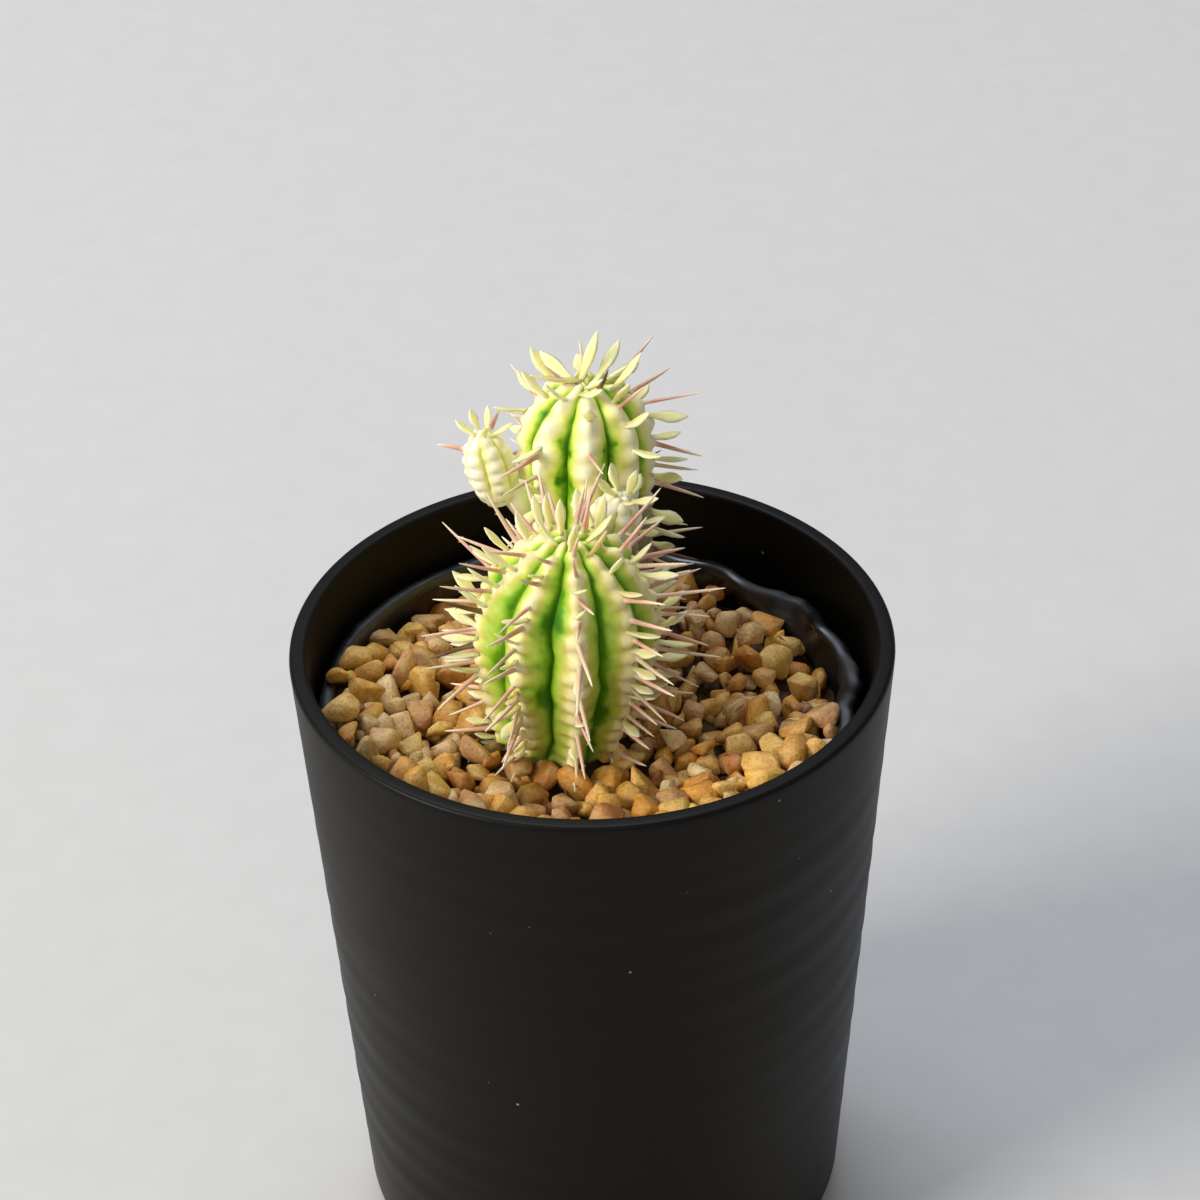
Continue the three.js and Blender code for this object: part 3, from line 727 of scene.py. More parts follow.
FRONT_BANDS = [
    (0.0, "#F2E8AE"), (0.12, "#ECE08C"), (0.24, "#D8D66A"), (0.42, "#C2D256"), (0.66, "#A4C63A"), (0.86, "#6CA400"),
    (1.0, "#3C7C00"),
]
REAR_BANDS = [
    (0.0, "#FAF4CC"), (0.32, "#F8F2B0"), (0.56, "#EAEA80"), (0.78, "#C4DA4C"), (0.92, "#7CB010"), (1.0, "#3E7A00"),
]
HEAD_BANDS = [(0.0, "#FEFAE0"), (0.5, "#FCF6CC"), (0.8, "#F6EEAA"), (0.92, "#CAD452"), (1.0, "#7CA418")]
front_skin = skin_finish("variegated_skin_front", FRONT_BANDS, "#B6C658", False)
rear_skin = skin_finish("variegated_skin_rear", REAR_BANDS, "#D2D07C", True)
head_skin = skin_finish("variegated_skin_side_heads", HEAD_BANDS, "#F2EAB4", False)
print("skin materials:", front_skin.name, rear_skin.name, head_skin.name)

# %% [markdown]
# ## Grow the stems
# The sizes are those of the CAD stems. The crest line is a dome, a flank that tapers downwards and a round heel, and
# it dips at the growing point. Both stems lean a little to the right. The two side heads are grown upright and then
# moved to where they leave the rear stem.

# %% Crest lines
def crest_line(stem):
    """Draws a stem's crest line as a curve object, from the growing point to the tip of the root."""
    top, base, radius, neck, root = (stem[key] for key in ("top", "base", "radius", "neck", "root"))
    waist, heel_top = top - stem["dome"], base + stem["foot"]

    def flank(z):
        return radius - stem["taper"] * (waist - z) ** 2 / (waist - z + 2)

    crown = [(radius * r**0.92, waist + stem["dome"] * h) for r, h in arc((0, 0), 1, 84, 0, 36)]
    side = [(flank(z), z) for _, z in stretch((0, waist), (0, heel_top), 0.8)[1:]] if waist > heel_top else []
    heel = []
    for r, h in arc((0, 0), 1, 0, -84, 28):
        z = heel_top + stem["foot"] * h
        heel.append((neck + (flank(z) - neck) * r**0.8, z))
    taproot = [
        (neck * 0.9, base - 1), (neck * 0.75, base - root * 0.3), (neck * 0.4, base - root * 0.8), (0, base - root),
    ]
    points = [(0, top - 0.9), (radius * 0.05, top - 0.75), *crown, *side, *heel, *taproot]
    data = bpy.data.curves.new("crest_line", "CURVE")
    data.dimensions = "3D"
    spline = data.splines.new("POLY")
    spline.points.add(len(points) - 1)
    for knot, (r, z) in zip(spline.points, points):
        knot.co = (r * mm, 0, z * mm, 1)
    drawn = bpy.data.objects.new("crest_line", data)
    bpy.context.collection.objects.link(drawn)
    return drawn


def grow(name, stem, skin):
    """Runs the skin tree for one stem, and moves the result to its place."""
    line = crest_line(stem)
    piece = run_tree(
        name, skin_tree,
        {
            "Crest line": line, "Ribs": stem["ribs"], "Columns per rib": stem["columns"], "Rings": stem["rings"],
            "Turn": math.radians(stem["turn"]), "Furrow depth": stem["furrow"], "Spiral": stem["spiral"],
            "Tubercle spacing": stem["pitch"] * mm, "Tubercle height": stem["knob"] * mm,
            "Wrinkle": stem["wrinkle"] * mm, "Crease": stem["crease"] * mm, "Base": stem["base"] * mm,
            "Top": stem["top"] * mm, "Bare top": stem["bare_top"] * mm, "Lean": stem["lean"], "Skin": skin,
        },
    )
    bpy.data.objects.remove(line)
    piece.data.transform(Matrix.Translation(Vector(stem["at"]) * mm))
    return piece


# %% The front stem
FRONT = {
    "top": 130.8, "base": 95.2, "radius": 13.1, "dome": 15.8, "taper": 0.22, "foot": 5, "neck": 5.6, "root": 15,
    "ribs": 9, "columns": 22, "rings": 150, "turn": 7, "furrow": 0.2, "spiral": 4, "pitch": 3.7, "knob": 1.0,
    "wrinkle": 0.5, "crease": 0.5, "bare_top": 1.6, "lean": (0.056, 0, 0), "at": (-4.9, -8.3, 0),
}
front = grow("front_skin", FRONT, front_skin)

# %% The rear stem
REAR = {
    "top": 139.6, "base": 93.8, "radius": 9.8, "dome": 8.8, "taper": 0, "foot": 5, "neck": 5.4, "root": 15, "ribs": 8,
    "columns": 22, "rings": 180, "turn": 1, "furrow": 0.2, "spiral": 3, "pitch": 4.4, "knob": 0.75, "wrinkle": 0.45,
    "crease": 0.4, "bare_top": 1.3, "lean": (0.025, 0, 0), "at": (-1.1, 20, 0),
}
rear = grow("rear_skin", REAR, rear_skin)

# %% The side heads
HEAD = {
    "top": 5.4, "base": -5.4, "radius": 3.6, "dome": 5.4, "taper": 0, "foot": 5.4, "neck": 2.2, "root": 2, "ribs": 6,
    "columns": 16, "rings": 60, "turn": 20, "furrow": 0.13, "spiral": 3, "pitch": 2.2, "knob": 0.6, "wrinkle": 0.0,
    "crease": 0.3, "bare_top": 0.6, "lean": (0, 0, 0), "at": (0, 0, 0),
}
HEADS = [
    {"at": (-14.6, 19.2, 126.4), "lean": (-0.2, 0.02, 1), "from": (-7.5, 20, 117)},
    {"at": (3.6, 7.6, 123.4), "lean": (0.22, -0.3, 1), "from": (1.2, 13.5, 115.5)},
]


def head_frame(head):
    """The matrix that takes an upright head to its place."""
    turned_up = Vector((0, 0, 1)).rotation_difference(Vector(head["lean"]))
    return Matrix.Translation(Vector(head["at"]) * mm) @ turned_up.to_matrix().to_4x4()


heads = [grow(f"side_head_{number}_skin", HEAD, head_skin) for number in (1, 2)]
print("heads:", [piece.name for piece in heads])

# %% [markdown]
# ## One leaf and three spines
# A leaf here is a thick little blade, lens-shaped in section, with a shallow channel and a point. A spine is a
# flower stalk that dried to wood: it swells at its root, tapers unevenly, and some keep two or three scale-like
# bracts near the tip. A bevelled curve would give the spine, but not the leaf's channel and sharp rim, so both are a
# section skinned along a line. Each is made once, one centimetre long, and repeated by the next tree.

# %% Leaf and spine shapes
def store(piece, label, values):
    """Stores one number for each point of a piece."""
    piece.data.attributes.new(label, "FLOAT", "POINT").data.foreach_set("value", values)


def sheathed(name, stations, section, bend):
    """Skins a section along +Z. stations are (height, half width, half thickness); bend bows it towards +Y."""
    mesh = bmesh.new()
    rings = [
        [mesh.verts.new((u * wide * mm, (v * thick + bend * z * z / 100) * mm, z * mm)) for u, v in section]
        for z, wide, thick in stations
    ]
    for lower, upper in zip(rings, rings[1:]):
        band(mesh, lower, upper)
    mesh.faces.new(reversed(rings[0]))
    mesh.faces.new(rings[-1])
    bmesh.ops.recalc_face_normals(mesh, faces=mesh.faces)
    piece = to_object(name, mesh, shown=False)
    store(piece, "tip", [max(0, z / 10) for z, _, _ in stations for _ in section])
    store(piece, "rim", [abs(u) for _ in stations for u, _ in section])
    return piece


BLADE = [(1, 0), (0.55, 0.62), (0, 0.38), (-0.55, 0.62), (-1, 0), (-0.5, -0.85), (0, -1), (0.5, -0.85)]
ROUND = [(math.cos(TURN * i / 7), math.sin(TURN * i / 7)) for i in range(7)]
LEAF = [
    (-2.2, 0.7, 0.55), (0, 0.75, 0.6), (1.8, 1.05, 0.62), (4, 1.6, 0.62), (6.2, 1.55, 0.55), (8.2, 0.95, 0.42),
    (9.5, 0.35, 0.24), (10, 0.06, 0.06),
]
SPINE = [
    (-1.2, 0.5, 0.5), (0, 0.66, 0.66), (0.7, 0.56, 0.56), (3, 0.5, 0.5), (6, 0.4, 0.4), (8.3, 0.27, 0.27),
    (9.6, 0.13, 0.13), (10, 0.03, 0.03),
]
leaf_shape = sheathed("leaf_shape", LEAF, BLADE, 0.9)
spine_shapes = bpy.data.collections.new("spine_shapes")
for number, bend in enumerate((0.2, 0.7, -0.5), 1):
    spine_shapes.objects.link(sheathed(f"spine_shape_{number}", SPINE, ROUND, bend))
print("leaf faces:", len(leaf_shape.data.polygons))

# %% [markdown]
# Bracts are tiny scales that stand off the stalk. They are short cones joined into two of the three spine meshes.

# %% Bracts
def add_bracts(spine, places):
    """Joins small pointed scales to a spine mesh, each at (height, turn)."""
    mesh = bmesh.new()
    mesh.from_mesh(spine.data)
    tip = mesh.verts.layers.float["tip"]
    for z, angle in places:
        side = Vector((math.cos(angle), math.sin(angle), 0))
        root = Matrix.Translation(side * 0.2 * mm + Vector((0, 0, z * mm)))
        tilt = Vector((0, 0, 1)).rotation_difference(side * 0.9 + Vector((0, 0, 0.7))).to_matrix().to_4x4()
        made = bmesh.ops.create_cone(
            mesh, cap_ends=True, segments=4, radius1=0.14 * mm, radius2=0.01 * mm, depth=0.75 * mm,
            matrix=root @ tilt @ Matrix.Translation((0, 0, 0.3 * mm)),
        )
        for vertex in made["verts"]:
            vertex[tip] = z / 10
    mesh.to_mesh(spine.data)
    mesh.free()


add_bracts(spine_shapes.objects[0], [(6.6, 0.4), (7.4, 3.4), (8.2, 1.8)])
add_bracts(spine_shapes.objects[1], [(5.8, 5.1), (7.6, 2.3)])

# %% [markdown]
# ## Leaves and spines on the tubercles
# A particle system would scatter them anywhere, but the plant grows them only on tubercles. So the second tree turns
# every tubercle top into a point. A spine grows there, and a leaf a millimetre above it, along the skin's slope with
# some scatter. A ray is cast along each one first: if the other stem, a pot or the grit is in the way, the piece is
# shortened to stop short of it, or left out.

# %% Tree: leaves and spines
tree, given = new_tree(
    "leaves_and_spines",
    {
        "Stem": "Object", "In the way": "Object", "Piece": "Collection", "Up the crest": "Float", "Length": "Float",
        "Length range": "Float", "Crown length": "Float", "Crown from": "Float", "Follow": "Float", "Lift": "Float",
        "Scatter": "Float", "Thickness": "Float", "Share kept": "Float", "Crown share": "Float", "Seed": "Int",
        "Finish": "Material",
    },
)
body = add(tree, "ObjectInfo", given["Stem"]).outputs["Geometry"]
is_node = add(tree, "InputNamedAttribute", "node", data_type="BOOLEAN")
points = add(tree, "MeshToPoints", Mesh=body, Selection=is_node)
azimuth, facing, height = (
    add(tree, "InputNamedAttribute", label, data_type="FLOAT") for label in ("azimuth", "facing", "height")
)

chance = {}
for number, label in enumerate(("turn", "tilt", "length", "girth", "kept", "tone", "shape", "roll")):
    seed = add(tree, "Math ADD", given["Seed"], float(number * 17))
    chance[label] = add(tree, "RandomValue", Seed=seed, data_type="FLOAT")
swing = {}
for label in ("turn", "tilt", "roll"):
    swing[label] = add(tree, "Math MULTIPLY", add(tree, "Math SUBTRACT", chance[label], 0.5), given["Scatter"])
way_round = add(tree, "Math ADD", azimuth, swing["turn"])
above = add(tree, "Math MULTIPLY_ADD", facing, given["Follow"], given["Lift"])
way_up = add(tree, "Math ADD", above, swing["tilt"])
level = add(tree, "Math COSINE", way_up)
sine = add(tree, "Math SINE", way_round)
cosine = add(tree, "Math COSINE", way_round)
towards_back = add(tree, "Math MULTIPLY", cosine, -1.0)
direction = add(
    tree, "CombineXYZ", add(tree, "Math MULTIPLY", sine, level), add(tree, "Math MULTIPLY", towards_back, level),
    add(tree, "Math SINE", way_up),
)
sideways = add(tree, "CombineXYZ", cosine, sine, swing["roll"])
aimed = add(tree, "AxesToRotation", direction, sideways, primary_axis="Z", secondary_axis="X")

# Up the crest is at right angles to the way the skin faces.
inwards = add(tree, "Math MULTIPLY", add(tree, "Math SINE", facing), -1.0)
uphill = add(
    tree, "CombineXYZ", add(tree, "Math MULTIPLY", inwards, sine), add(tree, "Math MULTIPLY", inwards, towards_back),
    add(tree, "Math COSINE", facing),
)
step = add(tree, "VectorMath SCALE", Vector=uphill, Scale=given["Up the crest"])
points = add(tree, "SetPosition", Geometry=points, Offset=step)

full = add(tree, "Math MULTIPLY_ADD", chance["length"], given["Length range"], given["Length"])
stunted = add(tree, "MapRange", height, 0.0, 0.6, 0.68, 1.0)
wanted = add(tree, "Math MULTIPLY", full, stunted)
all_crown = add(tree, "Math ADD", given["Crown from"], 0.35)
crown = add(tree, "MapRange", facing, given["Crown from"], all_crown, interpolation_type="SMOOTHSTEP")
grown = add(tree, "Mix", crown, wanted, given["Crown length"], data_type="FLOAT")
position = add(tree, "InputPosition")
obstacles = add(tree, "ObjectInfo", given["In the way"]).outputs["Geometry"]
ray = add(
    tree, "Raycast", Target_Geometry=obstacles, Source_Position=position, Ray_Direction=direction, Ray_Length=16 * mm,
)
room = add(tree, "Math SUBTRACT", ray.outputs["Hit Distance"], 0.5 * mm)
shortened = add(tree, "Math MINIMUM", grown, room)
reach = add(tree, "Switch", ray.outputs["Is Hit"], grown, shortened, input_type="FLOAT")
long_enough = add(tree, "Compare GREATER_THAN", reach, 2 * mm)
kept = add(tree, "Mix", crown, given["Share kept"], given["Crown share"], data_type="FLOAT")
chosen = add(tree, "Compare LESS_THAN", chance["kept"], kept)
wanted_here = add(tree, "BooleanMath AND", long_enough, chosen)

points = add(
    tree, "StoreNamedAttribute", Geometry=points, Name="tone", Value=chance["tone"], data_type="FLOAT", domain="POINT",
)
girth = add(tree, "MapRange", Value=chance["girth"], To_Min=0.82, To_Max=1.15)
thick = add(tree, "Math MULTIPLY", girth, given["Thickness"])
tall = add(tree, "Math DIVIDE", reach, 10 * mm)
choices = add(tree, "CollectionInfo", Collection=given["Piece"], Separate_Children=True, Reset_Children=True)
pick = add(tree, "Math MULTIPLY", chance["shape"], 2.99)
placed = add(
    tree, "InstanceOnPoints", Points=points, Selection=wanted_here, Instance=choices, Pick_Instance=True,
    Instance_Index=add(tree, "Math FLOOR", pick), Rotation=aimed, Scale=add(tree, "CombineXYZ", thick, thick, tall),
)
solid = add(tree, "RealizeInstances", Geometry=placed)
add(tree, "NodeGroupOutput", add(tree, "SetMaterial", Geometry=solid, Material=given["Finish"]))
armour_tree = tree
print("leaves_and_spines has", len(tree.nodes), "nodes")

# %% [markdown]
# ## Leaf and spine finishes
# A variegated leaf has almost no green: it is cream with a butter-yellow middle, and a few are flushed orange. A
# young spine is pale rose, it dries to straw with a pale tip, and a few old ones are dark brown. Each leaf and spine
# carries a random `tone` that picks its colour, which takes less than a material for each kind.

# %% Leaf and spine materials
# Thin wet blade: over half of its light has passed through the flesh, so its shaded side glows yellow.
leaf_material, tree, shader, _ = new_material(
    "fleshy_cream_leaf", IOR=1.42, Roughness=0.4, Subsurface_Weight=0.55, Subsurface_Scale=1.6 * mm,
    Subsurface_Radius=(1.0, 0.85, 0.3),
)
tip, rim, tone = (add(tree, "Attribute", attribute_name=label).outputs["Fac"] for label in ("tip", "rim", "tone"))
middle = add(tree, "ValToRGB", tip, stops=[(0.0, "#ECE07C"), (0.2, "#F9E888"), (0.75, "#FDEE9C"), (1.0, "#FAE8B4")])
edge = add(tree, "ValToRGB", tone, stops=[(0.0, "#FEF5C0"), (0.7, "#FFF9D4"), (1.0, "#FCEAC0")])
blade = add(tree, "Mix", rim, middle, edge, data_type="RGBA")
flushed = add(tree, "MapRange", tone, 0.94, 0.98, 0.0, 0.4)
plug(tree, shader, Base_Color=add(tree, "Mix", flushed, blade, linear("#EDA070"), data_type="RGBA"))

# Dry wood: matt, with a fine grain that breaks the light up, and only a trace of light passing through.
spine_material, tree, shader, place = new_material(
    "dried_flower_stalk", IOR=1.45, Roughness=0.6, Subsurface_Weight=0.08, Subsurface_Scale=0.6 * mm,
)
tip, tone, height = (add(tree, "Attribute", attribute_name=label).outputs["Fac"] for label in ("tip", "tone", "height"))
young = add(tree, "ValToRGB", tip, stops=[(0.0, "#F0D0B4"), (0.15, "#DC9C8C"), (0.6, "#E8BCA4"), (1.0, "#FCEBCC")])
dry = add(tree, "ValToRGB", tip, stops=[(0.0, "#E6CCAC"), (0.3, "#E2C4A6"), (0.75, "#EED8B4"), (1.0, "#FDF2D8")])
dark = add(tree, "ValToRGB", tip, stops=[(0.0, "#8A6A48"), (0.5, "#5E4028"), (1.0, "#7A5A3C")])
rosy = add(tree, "Math MULTIPLY_ADD", height, 0.7, tone)
freshness = add(tree, "MapRange", rosy, 0.7, 1.25)
live = add(tree, "Mix", freshness, dry, young, data_type="RGBA")
is_dark = add(tree, "MapRange", tone, 0.1, 0.07)
bark = add(tree, "TexNoise", Vector=place, Scale=1 / (0.5 * mm), Detail=4.0)
plug(
    tree, shader, Base_Color=add(tree, "Mix", is_dark, live, dark, data_type="RGBA"),
    Normal=add(tree, "Bump", Strength=0.5, Distance=0.06 * mm, Height=bark),
)
print("leaf and spine finishes are ready")

# %% [markdown]
# ## The level of the grit
# The grit falls away to the back and is heaped against the wall at the left, the front and the right, where it laps
# over the nursery pot's lip. Low banks lie round the front stem and along the back. One function gives its height
# anywhere, and grids that follow it are the bed under the stones and the surfaces that they are scattered on.

# %% The grit's level
GRIT = {"middle": 93.1, "slope": (-0.02, -0.07), "heap": 5.0, "reach": 37.9, "overlap": 2.9}
# Low banks: x, y, width and height. The first lies round the front stem, the others along the back.
BANKS = ((-4.9, -8.3, 9.5, 4.6), (-27, 15, 8, 2.6), (11, 29, 8, 3.2), (25, 21, 7, 2.4))


def smoothstep(value, low, high):
    """Goes smoothly from 0 at low to 1 at high."""
    share = max(0.0, min(1.0, (value - low) / (high - low)))
    return share * share * (3 - 2 * share)


def heaped(x, y):
    """1 where the grit is heaped against the wall, 0 behind."""
    turn = math.degrees(math.atan2(x, -y))
    return smoothstep(turn, -119, -94) * (1 - smoothstep(turn, 76, 101))


def grit_level(x, y):
    """The height of the grit's bed at a place, in millimetres."""
    level = GRIT["middle"] + GRIT["slope"][0] * x + GRIT["slope"][1] * y
    level += GRIT["heap"] * heaped(x, y) * smoothstep(math.hypot(x, y), 22, 40)
    for bx, by, wide, tall in BANKS:
        level += tall * math.exp(-((x - bx) ** 2 + (y - by) ** 2) / (2 * wide * wide))
    return level


def grit_reach(angle):
    """How far out the bed reaches in a direction: the nursery pot's wall, or the outer pot's where it is heaped."""
    return GRIT["reach"] + GRIT["overlap"] * heaped(math.sin(angle), -math.cos(angle))


def disc(level, inset, rings=24, spokes=96):
    """A polar grid that follows a level function, up to inset from the wall. Returns it and its rings of points."""
    mesh = bmesh.new()
    made = [[mesh.verts.new((0, 0, level(0, 0) * mm))] * spokes]
    for ring in range(1, rings + 1):
        row = []
        for i in range(spokes):
            angle = TURN * i / spokes
            radius = (grit_reach(angle) - inset) * ring / rings
            x, y = radius * math.sin(angle), -radius * math.cos(angle)
            row.append(mesh.verts.new((x * mm, y * mm, level(x, y) * mm)))
        made.append(row)
    for inner, outer in zip(made, made[1:]):
        band(mesh, inner, outer)
    return mesh, made


def level_surface(name, lower, inset):
    """An object that holds the level surface, lowered and pulled in from the wall."""
    mesh, _ = disc(lambda x, y: grit_level(x, y) - lower, inset)
    bmesh.ops.recalc_face_normals(mesh, faces=mesh.faces)
    return to_object(name, mesh, smooth=False)


top_level = level_surface("top_level", -1.2, 1.0)
under_level = level_surface("under_level", 0.2, 2.2)
print("grit level at left, middle and back:", [round(grit_level(*p), 1) for p in ((-38, 0), (0, 0), (0, 37))])

# %% [markdown]
# ## Dress the stems
# What stands in the way of a spine is gathered in one mesh for each stem: the other skins, both pots and the grit.
# For a side head, which is still upright at the origin, that mesh is moved the opposite way first.

# %% Leaves and spines for every stem
def gather(name, pieces, matrix):
    """Copies pieces into one mesh, seen from another frame."""
    mesh = bmesh.new()
    for piece, place in pieces:
        copy = piece.data.copy()
        copy.transform(matrix @ place)
        mesh.from_mesh(copy)
        bpy.data.meshes.remove(copy)
    return to_object(name, mesh, smooth=False)


def dress(name, skin, obstacles, leaf, spine, seed):
    """Adds a stem's leaves and spines, and returns both objects."""
    made = []
    for kind, values, shapes, material in (
        ("leaves", leaf, leaf_shapes, leaf_material), ("spines", spine, spine_shapes, spine_material),
    ):
        values = {label: value * mm if label in LENGTHS else value for label, value in values.items()}
        values |= {
            "Stem": skin, "In the way": obstacles, "Piece": shapes, "Seed": seed + len(made), "Finish": material,
        }
        made.append(run_tree(f"{name}_{kind}", armour_tree, values))
    return made


LENGTHS = ("Up the crest", "Length", "Length range", "Crown length")
leaf_shapes = bpy.data.collections.new("leaf_shapes")
leaf_shapes.objects.link(leaf_shape)
still = Matrix.Identity(4)
frames = [head_frame(head) for head in HEADS]
skins = {"front": (front, still), "rear": (rear, still), "left": (heads[0], frames[0]), "right": (heads[1], frames[1])}
BIG_LEAF = {
    "Up the crest": 1.0, "Length": 3.9, "Length range": 1.5, "Crown length": 5.0, "Crown from": 0.95, "Follow": 0.62,
    "Lift": 0.15, "Scatter": 0.75, "Thickness": 0.58, "Share kept": 0.7, "Crown share": 0.62,
}
BIG_SPINE = {
    "Up the crest": -0.2, "Length": 5.6, "Length range": 4.4, "Crown length": 5.4, "Crown from": 0.95, "Follow": 0.8,
    "Lift": -0.1, "Scatter": 0.6, "Thickness": 0.66, "Share kept": 0.86, "Crown share": 0.4,
}
REAR_LEAF = {
    **BIG_LEAF, "Length": 4.0, "Crown length": 7.2, "Follow": 0.48, "Share kept": 0.5, "Crown share": 1.0,
    "Lift": 0.1, "Scatter": 1.1, "Thickness": 0.7,
}
REAR_SPINE = {
    **BIG_SPINE, "Length": 5.5, "Length range": 3.5, "Crown length": 5.0, "Share kept": 0.45, "Crown share": 0.3,
    "Thickness": 0.6,
}
HEAD_LEAF = {**BIG_LEAF, "Crown from": 0.45, "Crown share": 1.0, "Thickness": 0.5}
LEFT_LEAF = {**HEAD_LEAF, "Length": 2.2, "Length range": 0.8, "Crown length": 3.4, "Share kept": 0.12}
RIGHT_LEAF = {**HEAD_LEAF, "Length": 2.8, "Length range": 1.0, "Crown length": 3.9, "Share kept": 0.4}
TINY_SPINE = {
    **REAR_SPINE, "Length": 3.0, "Length range": 1.5, "Crown length": 3.0, "Share kept": 0.12, "Crown share": 0.1,
}
DRESS = {
    "front": (BIG_LEAF, BIG_SPINE, 3), "rear": (REAR_LEAF, REAR_SPINE, 40), "left": (LEFT_LEAF, TINY_SPINE, 71),
    "right": (RIGHT_LEAF, TINY_SPINE, 95),
}
dressed = {}
for label, (skin, place) in skins.items():
    others = [(piece, where) for other, (piece, where) in skins.items() if other != label]
    others += [(liner, still), (top_level, still), (pot, still)]
    obstacles = gather("in_the_way", others, place.inverted())
    dressed[label] = [skin, *dress(label, skin, obstacles, *DRESS[label])]
    for piece in dressed[label]:
        piece.data.transform(place)
    bpy.data.objects.remove(obstacles)

# %% [markdown]
# A short pale neck joins each side head to the rear stem. It is a tapered tube in the heads' skin, and its ends are
# buried in both. The rear stem is old and corky low down on its right side, so a `cork` value is stored there.

# %% Necks and cork
def neck(name, head):
    """A tapered tube from the rear stem to a head."""
    start, end = Vector(head["from"]) * mm, Vector(head["at"]) * mm
    way = end - start
    mesh = bmesh.new()
    spin = Vector((0, 0, 1)).rotation_difference(way).to_matrix().to_4x4()
    bmesh.ops.create_cone(
        mesh, cap_ends=True, segments=24, radius1=3.1 * mm, radius2=2.1 * mm, depth=way.length,
        matrix=Matrix.Translation((start + end) / 2) @ spin,
    )
    piece = to_object(name, mesh)
    for label, value in (("height", 0.6), ("share", 0.35)):
        store(piece, label, [value] * len(piece.data.vertices))
    piece.data.materials.append(head_skin)
    return piece


necks = [neck(f"side_head_{number}_neck", head) for number, head in enumerate(HEADS, 1)]
cork = []
for vertex in rear.data.vertices:
    x, y, z = (vertex.co / mm) - Vector((-1.2, 20, 0))
    side = smoothstep(x - 0.25 * y, 1.5, 6.5)
    ragged = 2.5 * noise.noise(vertex.co / (3 * mm))
    cork.append(side * (1 - smoothstep(z + ragged, 117, 123)) * 0.9)
store(rear, "cork", cork)
print("corky points:", sum(value > 0.5 for value in cork))

# %% Join each stem's parts
def join(name, pieces):
    """Joins pieces into one object."""
    with bpy.context.temp_override(active_object=pieces[0], selected_editable_objects=pieces, object=pieces[0]):
        bpy.ops.object.join()
    pieces[0].name = name
    return pieces[0]


# The stones have to keep clear of the skins, but not of every low spine, so the bare skins are copied first.
bare = gather("bare_skins_and_wall", [(front, still), (rear, still), (liner, still)], still)
finish(join("front_stem", dressed["front"]), node="stem_front")
rear_parts = [*dressed["rear"], *dressed["left"], *dressed["right"], *necks]
finish(join("rear_stem", rear_parts), node="stem_rear")

# %% [markdown]
# ## Stones
# The grit is crushed quartz and feldspar, 3 to 7 mm, with its corners knocked off. Nine stones are enough: each is
# the hull of scattered points with its edges bevelled. A rigid-body drop would settle them one by one, but two
# scattered layers look the same from above: in each, the tree keeps the stones a spacing apart and clear of the skins
# and the nursery pot, turns and sizes each one, and gives it a tone for its colour. The lower layer fills the gaps.

# %% Nine stones
def stone_shape(name, seed):
    """One crushed stone about 5 mm across."""
    chance = random.Random(seed)
    mesh = bmesh.new()
    stretch_by = Vector((1.12, chance.uniform(0.8, 1.0), chance.uniform(0.66, 0.85)))
    for _ in range(11):
        way = Vector([chance.gauss(0, 1) for _ in range(3)]).normalized()
        mesh.verts.new(way * stretch_by * 2.6 * chance.uniform(0.86, 1.08) * mm)
    bmesh.ops.convex_hull(mesh, input=mesh.verts)
    bmesh.ops.delete(mesh, geom=[v for v in mesh.verts if not v.link_faces], context="VERTS")
    bmesh.ops.dissolve_limit(mesh, angle_limit=math.radians(14), verts=mesh.verts, edges=mesh.edges)
    bmesh.ops.bevel(mesh, geom=mesh.edges[:], offset=0.62 * mm, segments=1, affect="EDGES", clamp_overlap=True)
    bmesh.ops.recalc_face_normals(mesh, faces=mesh.faces)
    return to_object(name, mesh, shown=False)


stone_shapes = bpy.data.collections.new("stone_shapes")
for number in range(9):
    stone_shapes.objects.link(stone_shape(f"stone_shape_{number}", 100 + number))

# %% Tree: scattered stones
tree, given = new_tree(
    "scattered_stones",
    {
        "Level": "Object", "Stones": "Collection", "Keep clear": "Object", "Spacing": "Float", "Smallest": "Float",
        "Largest": "Float", "Unevenness": "Float", "Tumble": "Float", "Seed": "Int", "Finish": "Material",
    },
)
surface = add(tree, "ObjectInfo", given["Level"]).outputs["Geometry"]
points = add(
    tree, "DistributePointsOnFaces", Mesh=surface, Distance_Min=given["Spacing"], Density_Max=400000.0,
    Seed=given["Seed"], distribute_method="POISSON",
)
chance = {}
for number, label in enumerate(("size", "shape", "tone", "spin", "tip_x", "tip_y", "rise")):
    seed = add(tree, "Math ADD", given["Seed"], float(number * 13 + 5))
    chance[label] = add(tree, "RandomValue", Seed=seed, data_type="FLOAT")
others = add(tree, "ObjectInfo", given["Keep clear"]).outputs["Geometry"]
nearest = add(tree, "Proximity", Geometry=others, target_element="FACES")
free = add(tree, "Compare GREATER_THAN", nearest.outputs["Distance"], 0.8 * mm)
rise = add(tree, "Math MULTIPLY", add(tree, "Math SUBTRACT", chance["rise"], 0.5), given["Unevenness"])
settled = add(tree, "SetPosition", Geometry=points, Offset=add(tree, "CombineXYZ", 0.0, 0.0, rise))
settled = add(
    tree, "StoreNamedAttribute", Geometry=settled, Name="tone", Value=chance["tone"], data_type="FLOAT", domain="POINT",
)
tips = [
    add(tree, "Math MULTIPLY", add(tree, "Math SUBTRACT", chance[label], 0.5), given["Tumble"])
    for label in ("tip_x", "tip_y")
]
spin = add(tree, "Math MULTIPLY", chance["spin"], TURN)
turned_stone = add(tree, "EulerToRotation", add(tree, "CombineXYZ", *tips, spin))
